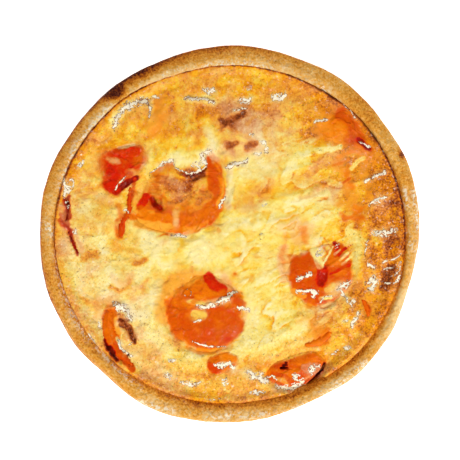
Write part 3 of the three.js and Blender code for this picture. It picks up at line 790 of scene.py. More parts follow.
# Wrinkled patches of dried cheese skin, whose crests take painted highlights.
WRINKLED = [
    (28, -5.6, 1.3, 1.9, -20, 0.8), (-31.4, -34.6, 1.3, 0.6, 20, 0.7), (-19, -39.8, 1.4, 0.8, 0, 0.8),
    (36.8, -27.4, 1.2, 0.8, 40, 0.9), (33.4, -37.4, 1.8, 0.6, 40, 0.8), (-47.4, 22.4, 0.7, 2.4, -35, 0.8),
    (-41.6, -29, 0.6, 1.8, 20, 0.6), (-6.7, 45.4, 1.9, 1.3, -20, 1), (4.4, 41.9, 2.2, 1.3, -10, 0.9),
    (5.7, 46.4, 1, 1, 0, 0.9), (14.9, 43.5, 2.5, 1.3, 5, 1), (6.7, 31.4, 1, 1, 0, 0.8),
    (10.2, 29.5, 1.3, 1.3, 0, 0.8), (8.3, 25.7, 1.6, 1, 0, 0.8), (11.4, 27, 1.3, 1.6, 0, 0.7),
    (-50.8, 15.1, 1.2, 3.4, -28, 1), (-49.2, 1.6, 1, 1.9, 0, 0.8), (-51.8, 9.8, 1, 1.9, 0, 0.7),
    (-7.4, -22.6, 3.6, 1.1, 6, 0.85), (-1.6, -20.6, 1.9, 1.3, 35, 1), (-10.8, 21.9, 2.5, 1.3, 10, 0.9),
    (-19.7, -45.1, 2.2, 1.3, -20, 0.8), (-12.7, -47.3, 3.2, 1, 0, 0.9), (-1.6, -46.7, 1.3, 1.6, 0, 0.9),
    (8.3, -45.1, 2.5, 1.3, 25, 0.9), (19.7, -48.6, 4.8, 1.1, 8, 1), (8.3, -50.2, 2.9, 1, 0, 0.8),
    (21.6, -46, 1.6, 1.3, 0, 1), (26, -43.2, 2.9, 1.9, 40, 0.75), (47, 0.3, 3.5, 1.3, -10, 1),
    (52.7, -12.1, 1.1, 4.1, -10, 0.9), (46.7, 10.8, 2.2, 1.3, 20, 0.9), (36.2, -16.8, 2.2, 1.1, 40, 1),
    (38.4, -21, 1.6, 1.6, 0, 0.8), (37.1, -35.9, 1.6, 1, 0, 0.7), (29.2, -5.1, 1, 2.5, -20, 0.35),
    (33.7, -4.1, 1, 1.9, -20, 0.5), (-34.3, -22.9, 2.2, 1.3, 10, 0.9), (10.8, 9.2, 1, 0.8, 0, 0.7),
    (-16.2, -0.3, 2.9, 0.8, 0, 0.8), (-23.8, 43.2, 2.2, 1.1, 0, 0.6), (51.8, 1, 1, 1.6, 0, 0.8),
    (-4.8, -52.4, 4.4, 0.5, 4, 0.5),
]
# Single folds of it, and lines along the tomatoes' edges, each drawn as a painted highlight: a line,
# its half-width and strength.
FOLD_LINES = [
    ([-36.5, 34.6, -36.2, 36.5, -35.2, 38.4, -32.4, 40.6, -29.8, 41.9, -27, 42.2], 0.6, 0.85),
    ([-26.4, 41.3, -25.3, 39.7, -25.6, 37.5], 0.3, 0.5),
    ([-14.3, 43, -11.1, 42.5, -8.3, 42.9, -5.4, 42.2], 0.32, 0.9),
    ([-8.6, 46, -7.3, 44.8, -5.7, 46, -5.1, 45.1], 0.29, 0.9),
    ([-22.2, 22.1, -20.6, 22.7, -18.4, 23.5], 0.32, 0.9), ([-9.2, 25.4, -8.6, 23.8, -7.9, 22.2], 0.32, 0.9),
    ([-7, 26.7, -8.6, 25.7], 0.44, 1), ([-1.6, 21.3, 0.6, 22.5, 3.2, 23.2, 5.1, 23.8], 0.29, 0.9),
    ([1, 39.1, 4.8, 39.7], 0.29, 0.8), ([26.7, 35.9, 30.2, 36.5], 0.25, 0.9),
    ([35.2, 41.3, 37.8, 39.1, 40, 36.5], 0.19, 0.7),
    ([41, 29.2, 43.5, 27.3], 0.22, 0.9), ([42.5, 17.1, 45.1, 18.4, 48.6, 20], 0.35, 0.9),
    ([44.1, 9.8, 46.7, 11.4, 49.2, 11.7], 0.32, 0.8),
    ([46.4, 0.3, 48.6, 1.3, 50.5, 0.3, 51.1, 1.6], 0.35, 1),
    ([43.5, -1.3, 42.5, -4.4, 41.9, -7.9], 0.19, 0.5), ([47.9, -9.2, 51.4, -7.9, 53.3, -6], 0.22, 0.7),
    ([48.9, -15.6, 51.4, -15.9, 53.3, -14.3], 0.22, 0.7), ([48.3, -11.4, 52.7, -10.5], 0.19, 0.6),
    ([-10.8, -22.2, -7.9, -23, -5.1, -22.4], 0.34, 0.6),
    ([-3.6, -21.4, -1.6, -20.6, -0.6, -20, 1, -18.4], 0.4, 0.75),
    ([2.2, -23.5, 3.5, -23.2, 5.4, -23.8], 0.25, 1), ([0.3, -19.4, 2.2, -18.4], 0.25, 0.8),
    ([-12.1, -34, -9.8, -34.8, -7.3, -35.3, -2.2, -35.4], 0.18, 0.75),
    ([-11.7, -28.1, -9.5, -27.5], 0.25, 0.9), ([21, -14.3, 22.5, -13.5, 24.8, -12.7], 0.35, 1),
    ([21, -17.6, 23.2, -18.1, 25.7, -17.5, 27, -18.4, 26.4, -19.4], 0.32, 1),
    ([28.3, -21.6, 29.5, -20.3, 31.8, -19.7], 0.19, 0.7),
    ([34.3, -17.5, 35.6, -16.2, 37.8, -15.2], 0.32, 0.9),
    ([35.2, -18.1, 36.8, -20.3, 38.7, -22.9], 0.25, 0.7),
    ([40.3, -25.1, 39.7, -27.6, 38.1, -29.5], 0.29, 0.9), ([5.4, -43.5, 8.3, -45.7, 11.4, -47], 0.35, 0.9),
    ([14.3, -48.3, 17.5, -49.5, 21, -48.9, 25.1, -49.5], 0.38, 1),
    ([20.3, -45.1, 21.3, -46.7, 22.9, -47], 0.35, 1), ([11.7, -45.7, 13, -45.1, 14.3, -45.7], 0.25, 0.9),
    ([-35.6, -33.3, -34.8, -35.2, -33.3, -37], 0.25, 1), ([-33.3, -37.1, -31.4, -38.4], 0.29, 0.8),
    ([-36.5, -22.2, -34.6, -22.9, -32.7, -23.8, -32.1, -26.4], 0.41, 0.9),
    ([-36.7, 14.4, -35.8, 16.2, -34.6, 17.3, -33.4, 18.7], 0.2, 0.7),
    ([-3.5, 8.9, -2.5, 10.5, -1.9, 11.1], 0.32, 0.9), ([-18.7, 0, -17.1, -0.6, -15.2, 0], 0.25, 0.7),
    ([-4.8, -41, -2.5, -41.9, -0.3, -40.6, 1, -42.2], 0.38, 1),
    ([-52.1, 17.5, -51.4, 14.9, -52.4, 12.7], 0.38, 0.9), ([-33, 7.9, -32.4, 7.3], 0.29, 0.9),
    ([-20.6, -44.5, -18.4, -45.4], 0.29, 0.7), ([-15.6, -47, -12.7, -47.9, -9.5, -47], 0.29, 0.7),
    ([43.5, -14.9, 44.8, -13.7, 46, -15.2, 44.5, -17.1], 0.44, 1), ([43.5, -9.2, 45.4, -10.8], 0.32, 0.9),
    ([3.2, 42.9, 5.7, 41.9, 6.3, 43.2], 0.32, 0.8), ([12.7, 43.8, 14.9, 42.9, 17.1, 44.1], 0.35, 1),
    ([-45, -31.4, -43.4, -34, -41.6, -36.6], 0.3, 0.7),
]
# Seed jelly, dried to lumps.
PULP = [(-15.4, 15.2, 9.2, 6.8, 5, 1)]
# Folds, lips and ridges of the surface: a line, its half-width and its rise.
RIDGES = [
    ([-37.1, 34.9, -34.9, 38.1, -30.8, 41.3, -26.4, 41.6, -25.4, 39.1, -25.7, 36.5], 0.7, 0.6),
    ([-13.7, 42.5, -9, 42.2, -5.4, 42.9], 0.6, 0.5),
    ([-1.6, 21.6, 0.5, 22.4, 4.1, 21.9, 4.8, 23.8], 0.6, 0.5), ([38.6, 16.3, 44, 18, 49.2, 20], 0.7, 0.5),
    ([20.4, 36.6, 26, 34.6, 30.7, 35.8], 0.6, 0.4), ([14, 10.8, 24, 13.6, 33, 17.6], 0.8, 0.35),
    ([17, 20.2, 24, 21.4, 30, 25], 0.7, 0.35), ([43.5, -1.6, 42.4, -8, 41.2, -13], 0.7, 0.6),
    ([8, -36, 16, -32, 22, -26], 0.8, 0.35), ([-20, -40, -12, -41.4, -3, -40.2], 0.7, 0.3),
    ([-36.8, -22.6, -34.4, -22, -32.4, -24, -33.8, -26.6], 0.7, 0.7),
    ([-11.1, -22.9, -8, -21.8, -5.4, -21.8, -2.2, -20.6, 0.8, -20.2, 1.8, -18.8], 0.5, 0.55),
    ([30.4, -10.5, 37, -6], 0.4, 0.45), ([28.4, -25, 33, -23, 35, -19, 37.4, -16.4], 0.6, 0.5),
    ([19, -44.4, 24, -43, 28.6, -42], 0.7, 0.4), ([-36, 26, -31.6, 27.8, -27.8, 28], 0.8, 0.4),
    ([31, -31, 36, -26, 39, -19], 0.7, 0.4),
]
# Bubbles: x, y, radius, height.
BUBBLES = [(9.8, -0.6, 0.9, 0.5), (-13.7, -18.4, 1.2, 0.3)]
# Pits and tears; the last number is a depth.
TEARS = [
    (-32.6, -29.6, 3.8, 1, -55, 1.2), (-35.2, -26.2, 1, 0.5, -30, 1), (-32.7, -37.8, 0.5, 0.5, 0, 1.4),
    (-38.6, -38.2, 3.6, 0.7, -50, 1.6), (27.6, -45, 4.2, 0.4, 53, 1.4), (-23.8, 10.5, 1.9, 1.3, -35, 1.3),
    (28.9, -13, 1.5, 3.4, -5, 0.6), (-10.4, 18.2, 3.4, 0.8, 12, 0.7), (-17, 15, 9, 6.6, 0, 0.3),
    (-8, -24.6, 6, 3.6, 10, 0.25),
]


# Strokes laid over all that: a line, half-width, softness of its edge, what it lays down, the value
# of that, and how strongly. Tomato takes a tone and cheese a browning. Film is tomato of a tone,
# seen through dried cheese, and skin says how much the cheese has dried.
TOMATO, CHEESE, FILM, SKIN = "tomato", "cheese", "film", "skin"
STROKES = [
    # Far left half: its wall.
    ([-5.7, 23.2, -5.1, 16.8, -5.4, 10.5, -7.6, 6.3], 1.91, 0.95, TOMATO, 0.57, 1),
    ([-2.9, 17.5, -2.2, 13.7, -3.2, 9.2], 0.7, 0.48, TOMATO, 0.82, 1),
    ([-6.3, 26, -4.8, 23.8], 1.08, 0.95, FILM, 0.66, 0.8),
    ([-14, 3.5, -9.5, 4.4, -6.7, 6.7], 1.91, 0.95, TOMATO, 0.68, 1),
    ([-14.6, 1.3, -10.5, 1.6], 0.95, 0.64, TOMATO, 0.84, 1),
    ([-17.5, 3.8, -16.8, 7.9], 0.8, 0.9, FILM, 0.95, 0.5),
    ([-30.8, 6, -27, 5.4, -22.2, 5.4, -19.1, 5.7], 1.27, 0.95, TOMATO, 0.76, 0.95),
    ([-29.8, 3.2, -25.4, 2.2, -20.3, 1.9], 1.08, 0.76, TOMATO, 0.95, 1),
    ([-28.9, 7.6, -24.4, 7], 0.83, 0.95, TOMATO, 0.95, 0.8),
    ([-29.8, 10.5, -27.9, 14.9, -25.4, 17.5], 1.27, 1.59, CHEESE, 0.42, 0.6),
    # Its seed jelly, seed pocket and the shade under the cheese's lip.
    ([-20.3, 17.4, -16.5, 16.4, -14.6, 13.7, -17.1, 11.8], 1.7, 1.9, SKIN, 0.55, 0.6),
    ([-14, 19.4, -11.4, 18.1, -8.9, 19.7], 1.08, 0.95, CHEESE, 0.93, 0.9),
    ([-10.5, 10.2, -7.6, 12.1], 1.43, 1.27, CHEESE, 0.86, 0.8),
    ([-19.1, 10.5, -14.3, 9.5], 0.95, 0.95, CHEESE, 0.74, 0.6),
    ([-22.2, 10.5, -21.3, 9.2], 0.83, 0.64, CHEESE, 0.8, 0.9),
    ([-28.6, 9.2, -26.7, 12.1], 1.27, 0.32, TOMATO, 0.35, 1),
    # Far left wedge, and the juice beside the strip on its near side.
    ([-29.2, 26.4, -28.6, 23.2], 1.59, 1.27, TOMATO, 0.62, 0.9),
    ([-37.1, 19.7, -38.1, 15.6], 2.06, 0.79, TOMATO, 0.34, 1),
    ([-34.6, 25.7, -32.1, 26.7, -29.5, 26.4], 1.27, 0.95, TOMATO, 0.33, 0.9),
    ([-38.1, 24.1, -35.9, 23.2], 0.76, 0.95, FILM, 0.8, 0.7),
    ([-32.4, 19.7, -30.5, 20], 0.95, 0.95, FILM, 0.84, 0.7),
    ([-35.2, 27.8, -32.7, 28.3, -30.5, 28.7], 0.51, 0.32, SKIN, 0.9, 0.9),
    # Painted shade in the groove along this wedge's near edge.
    ([-36.2, 13.7, -34.3, 15.2, -32.1, 17.1, -29.8, 18.1], 1.02, 0.32, TOMATO, 0.13, 1),
    ([-30.2, 17.5, -31.1, 13.7, -31.8, 10.5], 0.76, 0.44, TOMATO, 0.42, 0.9),
    ([-35.9, 4.4, -35.2, 0], 1.08, 0.79, TOMATO, 0.66, 0.95),
    ([-35.6, 8.9, -33.7, 6, -31.1, 6], 1.27, 0.95, TOMATO, 0.62, 0.7),
    # Near middle half: gold round it, wall, film and pale streaks.
    ([-21.6, -27, -21.2, -21, -18.4, -16.2], 2.2, 1.9, TOMATO, 0.99, 0.75),
    ([-18.4, -16.2, -14.9, -13.8, -9.6, -12.8], 1.7, 1.6, TOMATO, 0.99, 0.75),
    ([-17.8, -21.3, -18.1, -27, -15.9, -32.1], 1.9, 1.27, TOMATO, 0.66, 0.8),
    ([-14, -17.5, -10.8, -15.9, -7.6, -15.2], 1.43, 0.95, TOMATO, 0.7, 0.9),
    ([-2.5, -13.7, -0.6, -16.8], 1.59, 1.27, FILM, 0.75, 0.7),
    ([-7, -13.3, -6.3, -14.9, -4.4, -16.5, -2.5, -17.5], 1.46, 0.44, TOMATO, 0.35, 1),
    ([1.9, -21, 4.1, -22.2], 1.27, 0.64, TOMATO, 0.48, 0.8),
    ([-13.3, -21, -9.5, -21.6], 0.76, 0.51, CHEESE, 0.42, 0.9),
    ([-11.7, -24.8, -8.6, -26, -10.2, -27], 1.08, 0.44, CHEESE, 0.38, 0.95),
    ([-10.5, -36.5, -6.7, -37.1, -3.2, -36.5], 0.54, 0.44, TOMATO, 0.86, 1),
    # Right half: smooth lobe, dark middle and the fan of cream streaks.
    ([32.7, -6.7, 34.3, -11.1], 2.54, 1.27, TOMATO, 0.7, 0.9),
    ([28.9, -10.5, 28.9, -15.2], 1.59, 0.76, TOMATO, 0.2, 1),
    ([19.7, -18.1, 23.2, -19.7], 0.95, 0.51, TOMATO, 0.9, 0.9),
    ([26.4, -5.1, 27.3, -7.6, 28.3, -9.8], 1.33, 0.51, CHEESE, 0.1, 0.95),
    ([29.4, -9.2, 31.1, -6.3, 32.4, -3.8], 0.32, 0.22, CHEESE, 0.04, 1),
    ([33, -2.5, 34, -4.4, 33.3, -6.7], 0.6, 0.32, TOMATO, 0.2, 1),
    ([33, -6.3, 34.6, -4.8], 0.29, 0.19, CHEESE, 0.06, 0.9),
    ([34.3, -6.7, 35.6, -5.1, 36.5, -4.4], 0.48, 0.25, TOMATO, 0.24, 1),
    ([34.6, -8.3, 37.1, -6], 0.38, 0.25, CHEESE, 0.06, 0.95),
    ([35.2, -9.5, 38.1, -7.3], 0.38, 0.25, CHEESE, 0.05, 0.95),
    ([31.4, -12.4, 34.3, -11.1, 37.5, -9.8], 0.48, 0.32, TOMATO, 0.24, 0.95),
    ([28.6, -20.6, 31.4, -20], 0.73, 0.25, CHEESE, 0.14, 0.95),
    ([21, -1, 24.1, 1], 2.22, 1.91, FILM, 0.92, 0.55),
    ([23.2, 1.3, 24.4, -1.9], 0.95, 0.76, TOMATO, 0.88, 0.6),
    ([16.8, -4.4, 17.5, -9.2, 17.1, -13.3], 1.46, 1.27, FILM, 0.92, 0.6),
    ([30.8, -17.8, 32.7, -16.5], 0.95, 0.64, CHEESE, 0.3, 0.6),
    # Near right wedge, its slit and the smears above it.
    ([15.2, -39.1, 20.6, -37.5, 26.7, -36.5], 1.46, 0.64, CHEESE, 0.5, 1),
    ([12.7, -44.1, 16.5, -45.1], 1.59, 0.95, TOMATO, 0.68, 1),
    ([16.5, -45.4, 21, -44.1], 1.27, 0.95, TOMATO, 0.72, 0.9),
    ([24.1, -42.5, 27.6, -43.5], 1.78, 0.76, FILM, 0.34, 0.9),
    ([14.3, -49.2, 20.6, -49.5, 25.1, -49.2], 0.95, 0.44, SKIN, 0.8, 0.9),
    # Painted shade: the slit and the holes beside it, nearly black.
    ([29.8, -41.4, 29.1, -43.2, 26.2, -46.2, 24.8, -47.6], 0.44, 0.16, TOMATO, 0.03, 1),
    ([16, -42.6, 17.9, -42.6], 0.32, 0.16, TOMATO, 0.04, 1),
    ([16.7, -41.7, 17.8, -41.7], 0.41, 0.16, TOMATO, 0.04, 1),
    ([17.4, -40.8, 17.8, -40.8], 0.32, 0.16, TOMATO, 0.04, 1),
    ([24.1, -35.4, 27.3, -35.2, 30.5, -34.6], 0.6, 0.51, TOMATO, 0.6, 0.85),
    ([28.3, -32.7, 31.1, -30.2], 1.02, 0.76, TOMATO, 0.68, 0.85),
    # Near left wedge, the torn blister beside it and the skin at the left edge.
    ([-38.1, -24, -38.2, -29.2, -37.6, -33], 2.5, 0.6, TOMATO, 0.66, 1),
    ([-36.2, -26.7, -35.6, -31.1], 0.79, 0.51, TOMATO, 0.96, 1),
    ([-36.2, -34.9, -34.6, -38.4, -31.4, -42.2], 1.21, 0.38, TOMATO, 0.54, 1),
    # Painted shade: the gap between the wedge and the crust, a small hole, and the torn blister's hollow.
    ([-40.2, -33.2, -39.2, -35.6], 0.5, 0.5, TOMATO, 0.08, 1),
    ([-38.8, -36.2, -37.7, -38, -35.9, -39.9], 0.85, 0.7, TOMATO, 0.02, 1),
    ([-32.8, -37.8, -32.5, -37.8], 0.38, 0.19, TOMATO, 0, 1),
    ([-35.1, -27, -32.7, -27.1], 0.57, 0.25, TOMATO, 0.06, 1),
    ([-34.3, -28.3, -32.1, -29.8], 1.14, 0.38, CHEESE, 0.93, 1),
    ([-32.1, -31.1, -30.5, -33], 0.7, 0.25, TOMATO, 0.14, 1),
    ([-52.1, 11.7, -51.8, 8.6, -52.4, 5.4, -51.1, 1.6, -50.2, -1.6, -48.3, -5.4],
     0.4, 0.5, TOMATO, 0.08, 0.9),
    # Dried skin at the left edge and the blister's.
    ([-51.1, 12.4, -51.4, 9.5, -52.1, 6.3, -51.4, 3.5], 0.7, 0.44, TOMATO, 0.13, 0.9),
    ([-53.3, 6.3, -52.1, 3.5, -50.5, 0.3], 0.76, 0.51, TOMATO, 0.18, 0.8),
    ([-50.2, 0.3, -49.2, -2.9, -48.3, -6], 0.44, 0.32, TOMATO, 0.12, 0.9),
    ([-52.7, 8.9, -52.1, 2.2], 1.14, 0.95, FILM, 0.3, 0.5),
    ([4.1, 36.5, 8.3, 33.3, 8.3, 27.6], 2.54, 2.22, SKIN, 1, 0.8),
    # Amber hollows and dried bumps of the cheese.
    ([-46.4, -7, -44.5, -5.7, -41.9, -5.4], 1.08, 0.95, CHEESE, 0.66, 0.9),
    ([-30.8, -9.2, -28.9, -9, -27.3, -7.9], 0.76, 0.64, CHEESE, 0.74, 0.9),
    ([-37.5, -16.5, -34.9, -17.9, -32.7, -16.8, -31.9, -14], 0.76, 0.95, CHEESE, 0.66, 0.9),
    ([-47, -20.6, -44.5, -22.2, -41.3, -21.6], 1.21, 1.59, CHEESE, 0.6, 0.8),
    ([-41.3, -20.3, -37.1, -21.9], 1.27, 1.27, FILM, 0.86, 0.6),
    ([-36.8, -4.8, -32.4, -4.1, -28.6, -5.4], 1.08, 1.27, CHEESE, 0.5, 0.7),
    ([-41.9, 7.3, -38.1, 3.5], 1.59, 1.91, CHEESE, 0.46, 0.6),
    ([2.5, 13, 5.1, 7.9], 2.22, 2.22, CHEESE, 0.52, 0.7),
    ([-24.8, -34, -21.6, -35.9], 1.59, 1.59, FILM, 0.86, 0.55),
    ([10.2, 5.4, 15.9, 8.6], 1.27, 1.59, CHEESE, 0.44, 0.6),
    ([22.2, 11.7, 27.9, 14.3], 0.83, 0.95, CHEESE, 0.56, 0.6),
    ([-34.9, 3.5, -30.5, -1], 1.27, 1.59, CHEESE, 0.44, 0.6),
    ([-43.8, 16.8, -40, 18.1], 1.27, 1.59, CHEESE, 0.54, 0.6),
    ([-25.4, -9.2, -22.2, -12.4], 1.27, 1.27, CHEESE, 0.44, 0.5),
    ([-32.4, -30.8, -27.9, -32.1], 1.27, 1.27, SKIN, 0.8, 0.6),
    ([1.9, -46.7, 7, -49.8], 1.59, 1.27, CHEESE, 0.58, 0.6),
    # Smaller strokes of cheese, skin and juice all over, and streaks of the tomatoes' own.
    ([-28.6, -13.7, -24.8, -7.3, -18.4, -3.2], 1.59, 1.59, CHEESE, 0.02, 0.8),
    ([-34.9, -9.2, -34.3, -13.7], 1.59, 1.59, CHEESE, 0.34, 0.6),
    ([-50.2, -9.2, -47.6, -13.7, -46.4, -18.1], 1.27, 1.27, SKIN, 1, 0.6),
    ([-43.8, -1.6, -40, -1], 1.27, 0.95, CHEESE, 0.06, 0.7),
    ([-52.1, 11.1, -51.1, 8.6, -50.8, 6], 0.95, 0.51, TOMATO, 0.12, 0.9),
    ([-54, 4.8, -52.1, 2.9, -50.2, 1.3], 0.76, 0.44, TOMATO, 0.2, 0.8),
    ([-49.5, 1.6, -47.6, -2.2, -47, -5.1], 0.7, 0.51, FILM, 0.4, 0.6),
    ([-0.3, 20.6, 0, 14.3, -1, 8.6], 0.95, 0.76, SKIN, 0.9, 0.8),
    ([0, 18.1, 0.3, 11.1], 0.64, 0.64, CHEESE, 0, 0.8),
    ([22.9, -28.3, 26, -30.8, 29.8, -33], 1.91, 1.59, TOMATO, 0.9, 0.5),
    ([15.9, 2.9, 19.1, 5.4, 22.2, 4.1], 1.91, 1.59, TOMATO, 0.95, 0.35),
    ([31.1, -37.8, 34.9, -37.1, 38.1, -34.6], 1.27, 1.27, CHEESE, 0.56, 0.8),
    ([5.7, -37.8, 14.3, -35.2, 22.2, -30.8], 1.91, 1.91, CHEESE, 0.14, 0.6),
    ([-25.4, -27, -22.9, -21.3, -22.2, -16.2], 0.64, 0.64, CHEESE, 0.3, 0.5),
    ([4.1, 7.9, 10.2, 10.5], 1.59, 1.91, SKIN, 0.8, 0.5),
    ([-13.3, -1, -9.5, -4.1], 1.59, 1.91, SKIN, 0.6, 0.4),
    ([6.3, 0.3, 11.4, 2.2], 1.27, 1.59, CHEESE, 0.34, 0.5),
    ([-17.1, -21.3, -14, -22.5, -10.2, -20.6], 0.95, 0.95, TOMATO, 0.78, 0.8),
    ([-17.1, -26.4, -14, -31.4, -9.5, -33.3], 1.59, 1.27, TOMATO, 0.5, 0.6),
    ([-7, -21.3, -1.3, -21.3], 0.95, 0.95, FILM, 0.7, 0.5),
    ([-5.1, -24.4, 0, -26.4, 1.9, -30.2, -1.3, -32.7], 2.06, 1.27, TOMATO, 0.42, 0.8),
    ([-10.2, -28.3, -4.4, -30.2], 1.59, 1.59, TOMATO, 0.56, 0.6),
    ([-8.3, -18.1, -2.5, -18.7], 0.95, 0.95, TOMATO, 0.8, 0.6),
    ([24.1, -7.9, 28.6, -11.1], 0.95, 0.95, TOMATO, 0.5, 0.6),
    ([35.2, 38.4, 37.8, 34.6, 39.7, 30.2], 2.22, 1.59, TOMATO, 0.5, 0.9),
    ([27.9, 36.5, 31.1, 33.3, 33.7, 30.8], 1.91, 1.59, TOMATO, 0.93, 0.6),
    ([33.7, 23.2, 36.8, 17.5, 38.7, 11.7], 1.75, 1.59, TOMATO, 0.84, 0.65),
    ([34.9, 9.8, 40.6, 7.9], 1.43, 1.27, TOMATO, 0.82, 0.65),
    ([35.9, 5.1, 41.3, 5.4], 0.95, 0.76, TOMATO, 0.6, 0.8),
    ([21, 10.5, 27.9, 13, 33.7, 14.9], 1.27, 1.59, SKIN, 1, 0.6),
    ([22.2, 9.8, 30.5, 13], 0.64, 0.95, CHEESE, 0, 0.7),
    ([10.2, 8.6, 17.1, 6], 0.95, 1.27, CHEESE, 0.02, 0.6),
    ([40, 0.3, 41.3, -5.4, 39.4, -11.1], 1.27, 0.95, CHEESE, 0.3, 0.8),
    ([-20.3, -39.1, -15.2, -41, -9.5, -42.5], 1.59, 1.27, CHEESE, 0.3, 0.7),
    ([-33, -35.9, -28.6, -37.8, -24.8, -37.1], 1.59, 1.59, FILM, 0.94, 0.35),
    ([-37.5, -13.7, -34.3, -16.2, -31.1, -13], 1.08, 0.95, FILM, 0.9, 0.5),
    ([-7, -47.9, -2.5, -46, 1.9, -47.9], 1.59, 1.27, CHEESE, 0.5, 0.6),
    ([10.2, -48.6, 17.1, -46.7], 1.27, 1.27, CHEESE, 0.46, 0.6),
    ([-25.4, -44.1, -18.4, -46], 1.27, 1.27, FILM, 0.94, 0.35),
    ([-50.8, -9.2, -48.3, -14.9], 1.27, 1.27, CHEESE, 0.12, 0.6),
    ([40, 27.6, 41.9, 23.8, 41.9, 19.4], 1.27, 0.95, TOMATO, 0.88, 0.5),
    ([42.9, 17.5, 44.8, 11.7], 1.27, 1.27, TOMATO, 0.9, 0.4),
    ([22.2, 42.2, 27.3, 38.4], 1.91, 1.91, CHEESE, 0.56, 0.6),
    ([10.2, 43.5, 17.8, 45.4, 22.9, 44.8], 1.59, 1.59, CHEESE, 0.62, 0.6),
    ([-13.3, 44.8, -7.6, 42.9], 1.59, 1.59, CHEESE, 0.5, 0.5),
    ([-16.5, 42.2, -14, 34.6], 1.27, 1.59, CHEESE, 0.3, 0.6),
    ([-8.3, 33.3, -5.1, 28.9, -7, 26.4], 1.27, 1.27, SKIN, 0.8, 0.6),
    ([-42.5, 13, -37.5, 10.5], 1.27, 1.27, SKIN, 0.8, 0.5),
    ([-46.4, 18.1, -42.5, 16.8], 1.27, 1.27, CHEESE, 0.2, 0.6),
    ([2.5, 26.4, 7, 20.6, 14.6, 20], 1.59, 1.91, CHEESE, 0.12, 0.5),
    ([-26.7, -21.3, -25.4, -30.8, -19.7, -37.1], 1.59, 1.59, CHEESE, 0.06, 0.7),
    ([6.3, -27, 5.7, -33.3, 1.3, -38.4], 1.59, 1.59, CHEESE, 0.08, 0.8),
    ([7, -18.1, 7.6, -25.1], 1.27, 1.59, CHEESE, 0.06, 0.7),
    ([10.2, -32.1, 18.4, -32.1, 23.5, -29.5], 1.91, 1.91, CHEESE, 0.1, 0.6),
    ([-10.8, -7.3, -1.3, -6], 1.59, 1.59, CHEESE, 0.02, 0.6),
    ([19.7, -7.9, 20.3, -13, 22.9, -17.5], 1.27, 0.95, TOMATO, 0.55, 0.7),
    ([16.2, -4.1, 15.9, -9.2, 16.5, -14.3], 1.08, 0.95, FILM, 0.86, 0.7),
    ([19.1, 2.2, 22.2, 3.5], 1.59, 1.27, FILM, 0.9, 0.5),
    ([33, -6.7, 35.2, -9.2, 36.2, -12.4], 0.76, 0.64, TOMATO, 0.72, 0.6),
    ([36.2, -41, 40, -38.1, 43.2, -34.6], 1.43, 1.27, CHEESE, 0.54, 0.9),
    ([34.9, -26.4, 38.1, -28.9, 38.7, -32.1], 1.27, 1.27, CHEESE, 0.46, 0.7),
    ([41.3, -21.3, 45.1, -23.2], 1.27, 1.27, CHEESE, 0.62, 0.6),
    ([-43.8, -21.3, -41.9, -24.4, -42.5, -27.6], 1.27, 1.27, FILM, 0.9, 0.4),
    ([-28.6, -20, -26.7, -25.1], 1.27, 1.27, SKIN, 0.9, 0.5),
    ([-34.9, -27.6, -30.5, -26.4], 1.27, 1.27, SKIN, 1, 0.5),
    ([-37.5, 25.7, -33.7, 26.7, -29.8, 26.4], 1.08, 0.95, TOMATO, 0.42, 0.8),
    ([-39.4, 18.1, -37.5, 14.9, -35.6, 13.7], 1.27, 0.95, TOMATO, 0.32, 0.8),
    ([-34.3, 20.6, -31.8, 19.4], 0.95, 0.95, TOMATO, 0.36, 0.7),
    ([-25.4, 21.3, -26.4, 18.1], 0.76, 0.76, CHEESE, 0.2, 0.7),
    ([-30.8, 16.2, -29.8, 13], 0.44, 0.32, TOMATO, 0.6, 0.7),
    ([-28.6, 8.6, -25.4, 6, -22.2, 4.8], 0.83, 0.64, TOMATO, 0.7, 0.7),
    ([-7, 9.2, -5.1, 6, -8.3, 3.5], 0.95, 0.95, TOMATO, 0.64, 0.6),
    ([-3.5, 18.1, -2.9, 13.7, -4.4, 8.6], 0.51, 0.51, TOMATO, 0.8, 0.7),
    ([-7.6, 23.2, -5.7, 20.6, -5.1, 16.8], 0.95, 0.95, TOMATO, 0.5, 0.6),
    ([-15.2, 2.2, -10.8, 2.2, -7, 4.1], 0.57, 0.44, TOMATO, 0.86, 0.7),
    ([-1.3, 35.6, 1, 37.1, 3.5, 38.4], 0.76, 0.7, CHEESE, 0.95, 0.85),
    ([5.1, 35.2, 7.6, 36.8], 0.7, 0.83, CHEESE, 0.68, 0.6),
    ([2.5, 32.4, 6, 31.4], 0.76, 0.76, CHEESE, 0.58, 0.5),
    ([10.2, 34, 11.4, 30.2], 0.64, 0.76, CHEESE, 0.6, 0.45),
    ([-0.6, 33.7, 1.9, 33], 0.57, 0.64, CHEESE, 0.74, 0.6),
    ([7, 38.4, 10.2, 37.8], 0.76, 0.83, SKIN, 1, 0.6),
    ([1.9, 30.8, 4.4, 29.8], 0.64, 0.64, CHEESE, 0.3, 0.7),
    ([-22.9, 39.1, -23.5, 35.2, -24.4, 32.1], 0.95, 1.59, TOMATO, 0.84, 0.5),
    ([-30.5, 38.4, -27.9, 41, -26, 39.7], 0.95, 0.95, CHEESE, 0.58, 0.7),
    ([-19.1, 43.5, -14.6, 44.8], 0.95, 1.27, CHEESE, 0.62, 0.5),
    ([-34, -28.9, -31.8, -31.1, -30.5, -34], 0.76, 0.44, CHEESE, 0.97, 1),
    ([-36.2, -32.7, -34.9, -35.9], 0.38, 0.32, CHEESE, 0.1, 0.9),
    ([-5.1, -25.1, -1.3, -27, 1.3, -30.2], 1.59, 1.08, TOMATO, 0.58, 0.85),
    ([-7.6, -32.7, -2.5, -33.3], 0.95, 0.83, TOMATO, 0.5, 0.7),
    ([-16.5, -21.3, -15.2, -25.1, -12.7, -30.8], 0.95, 0.95, TOMATO, 0.52, 0.6),
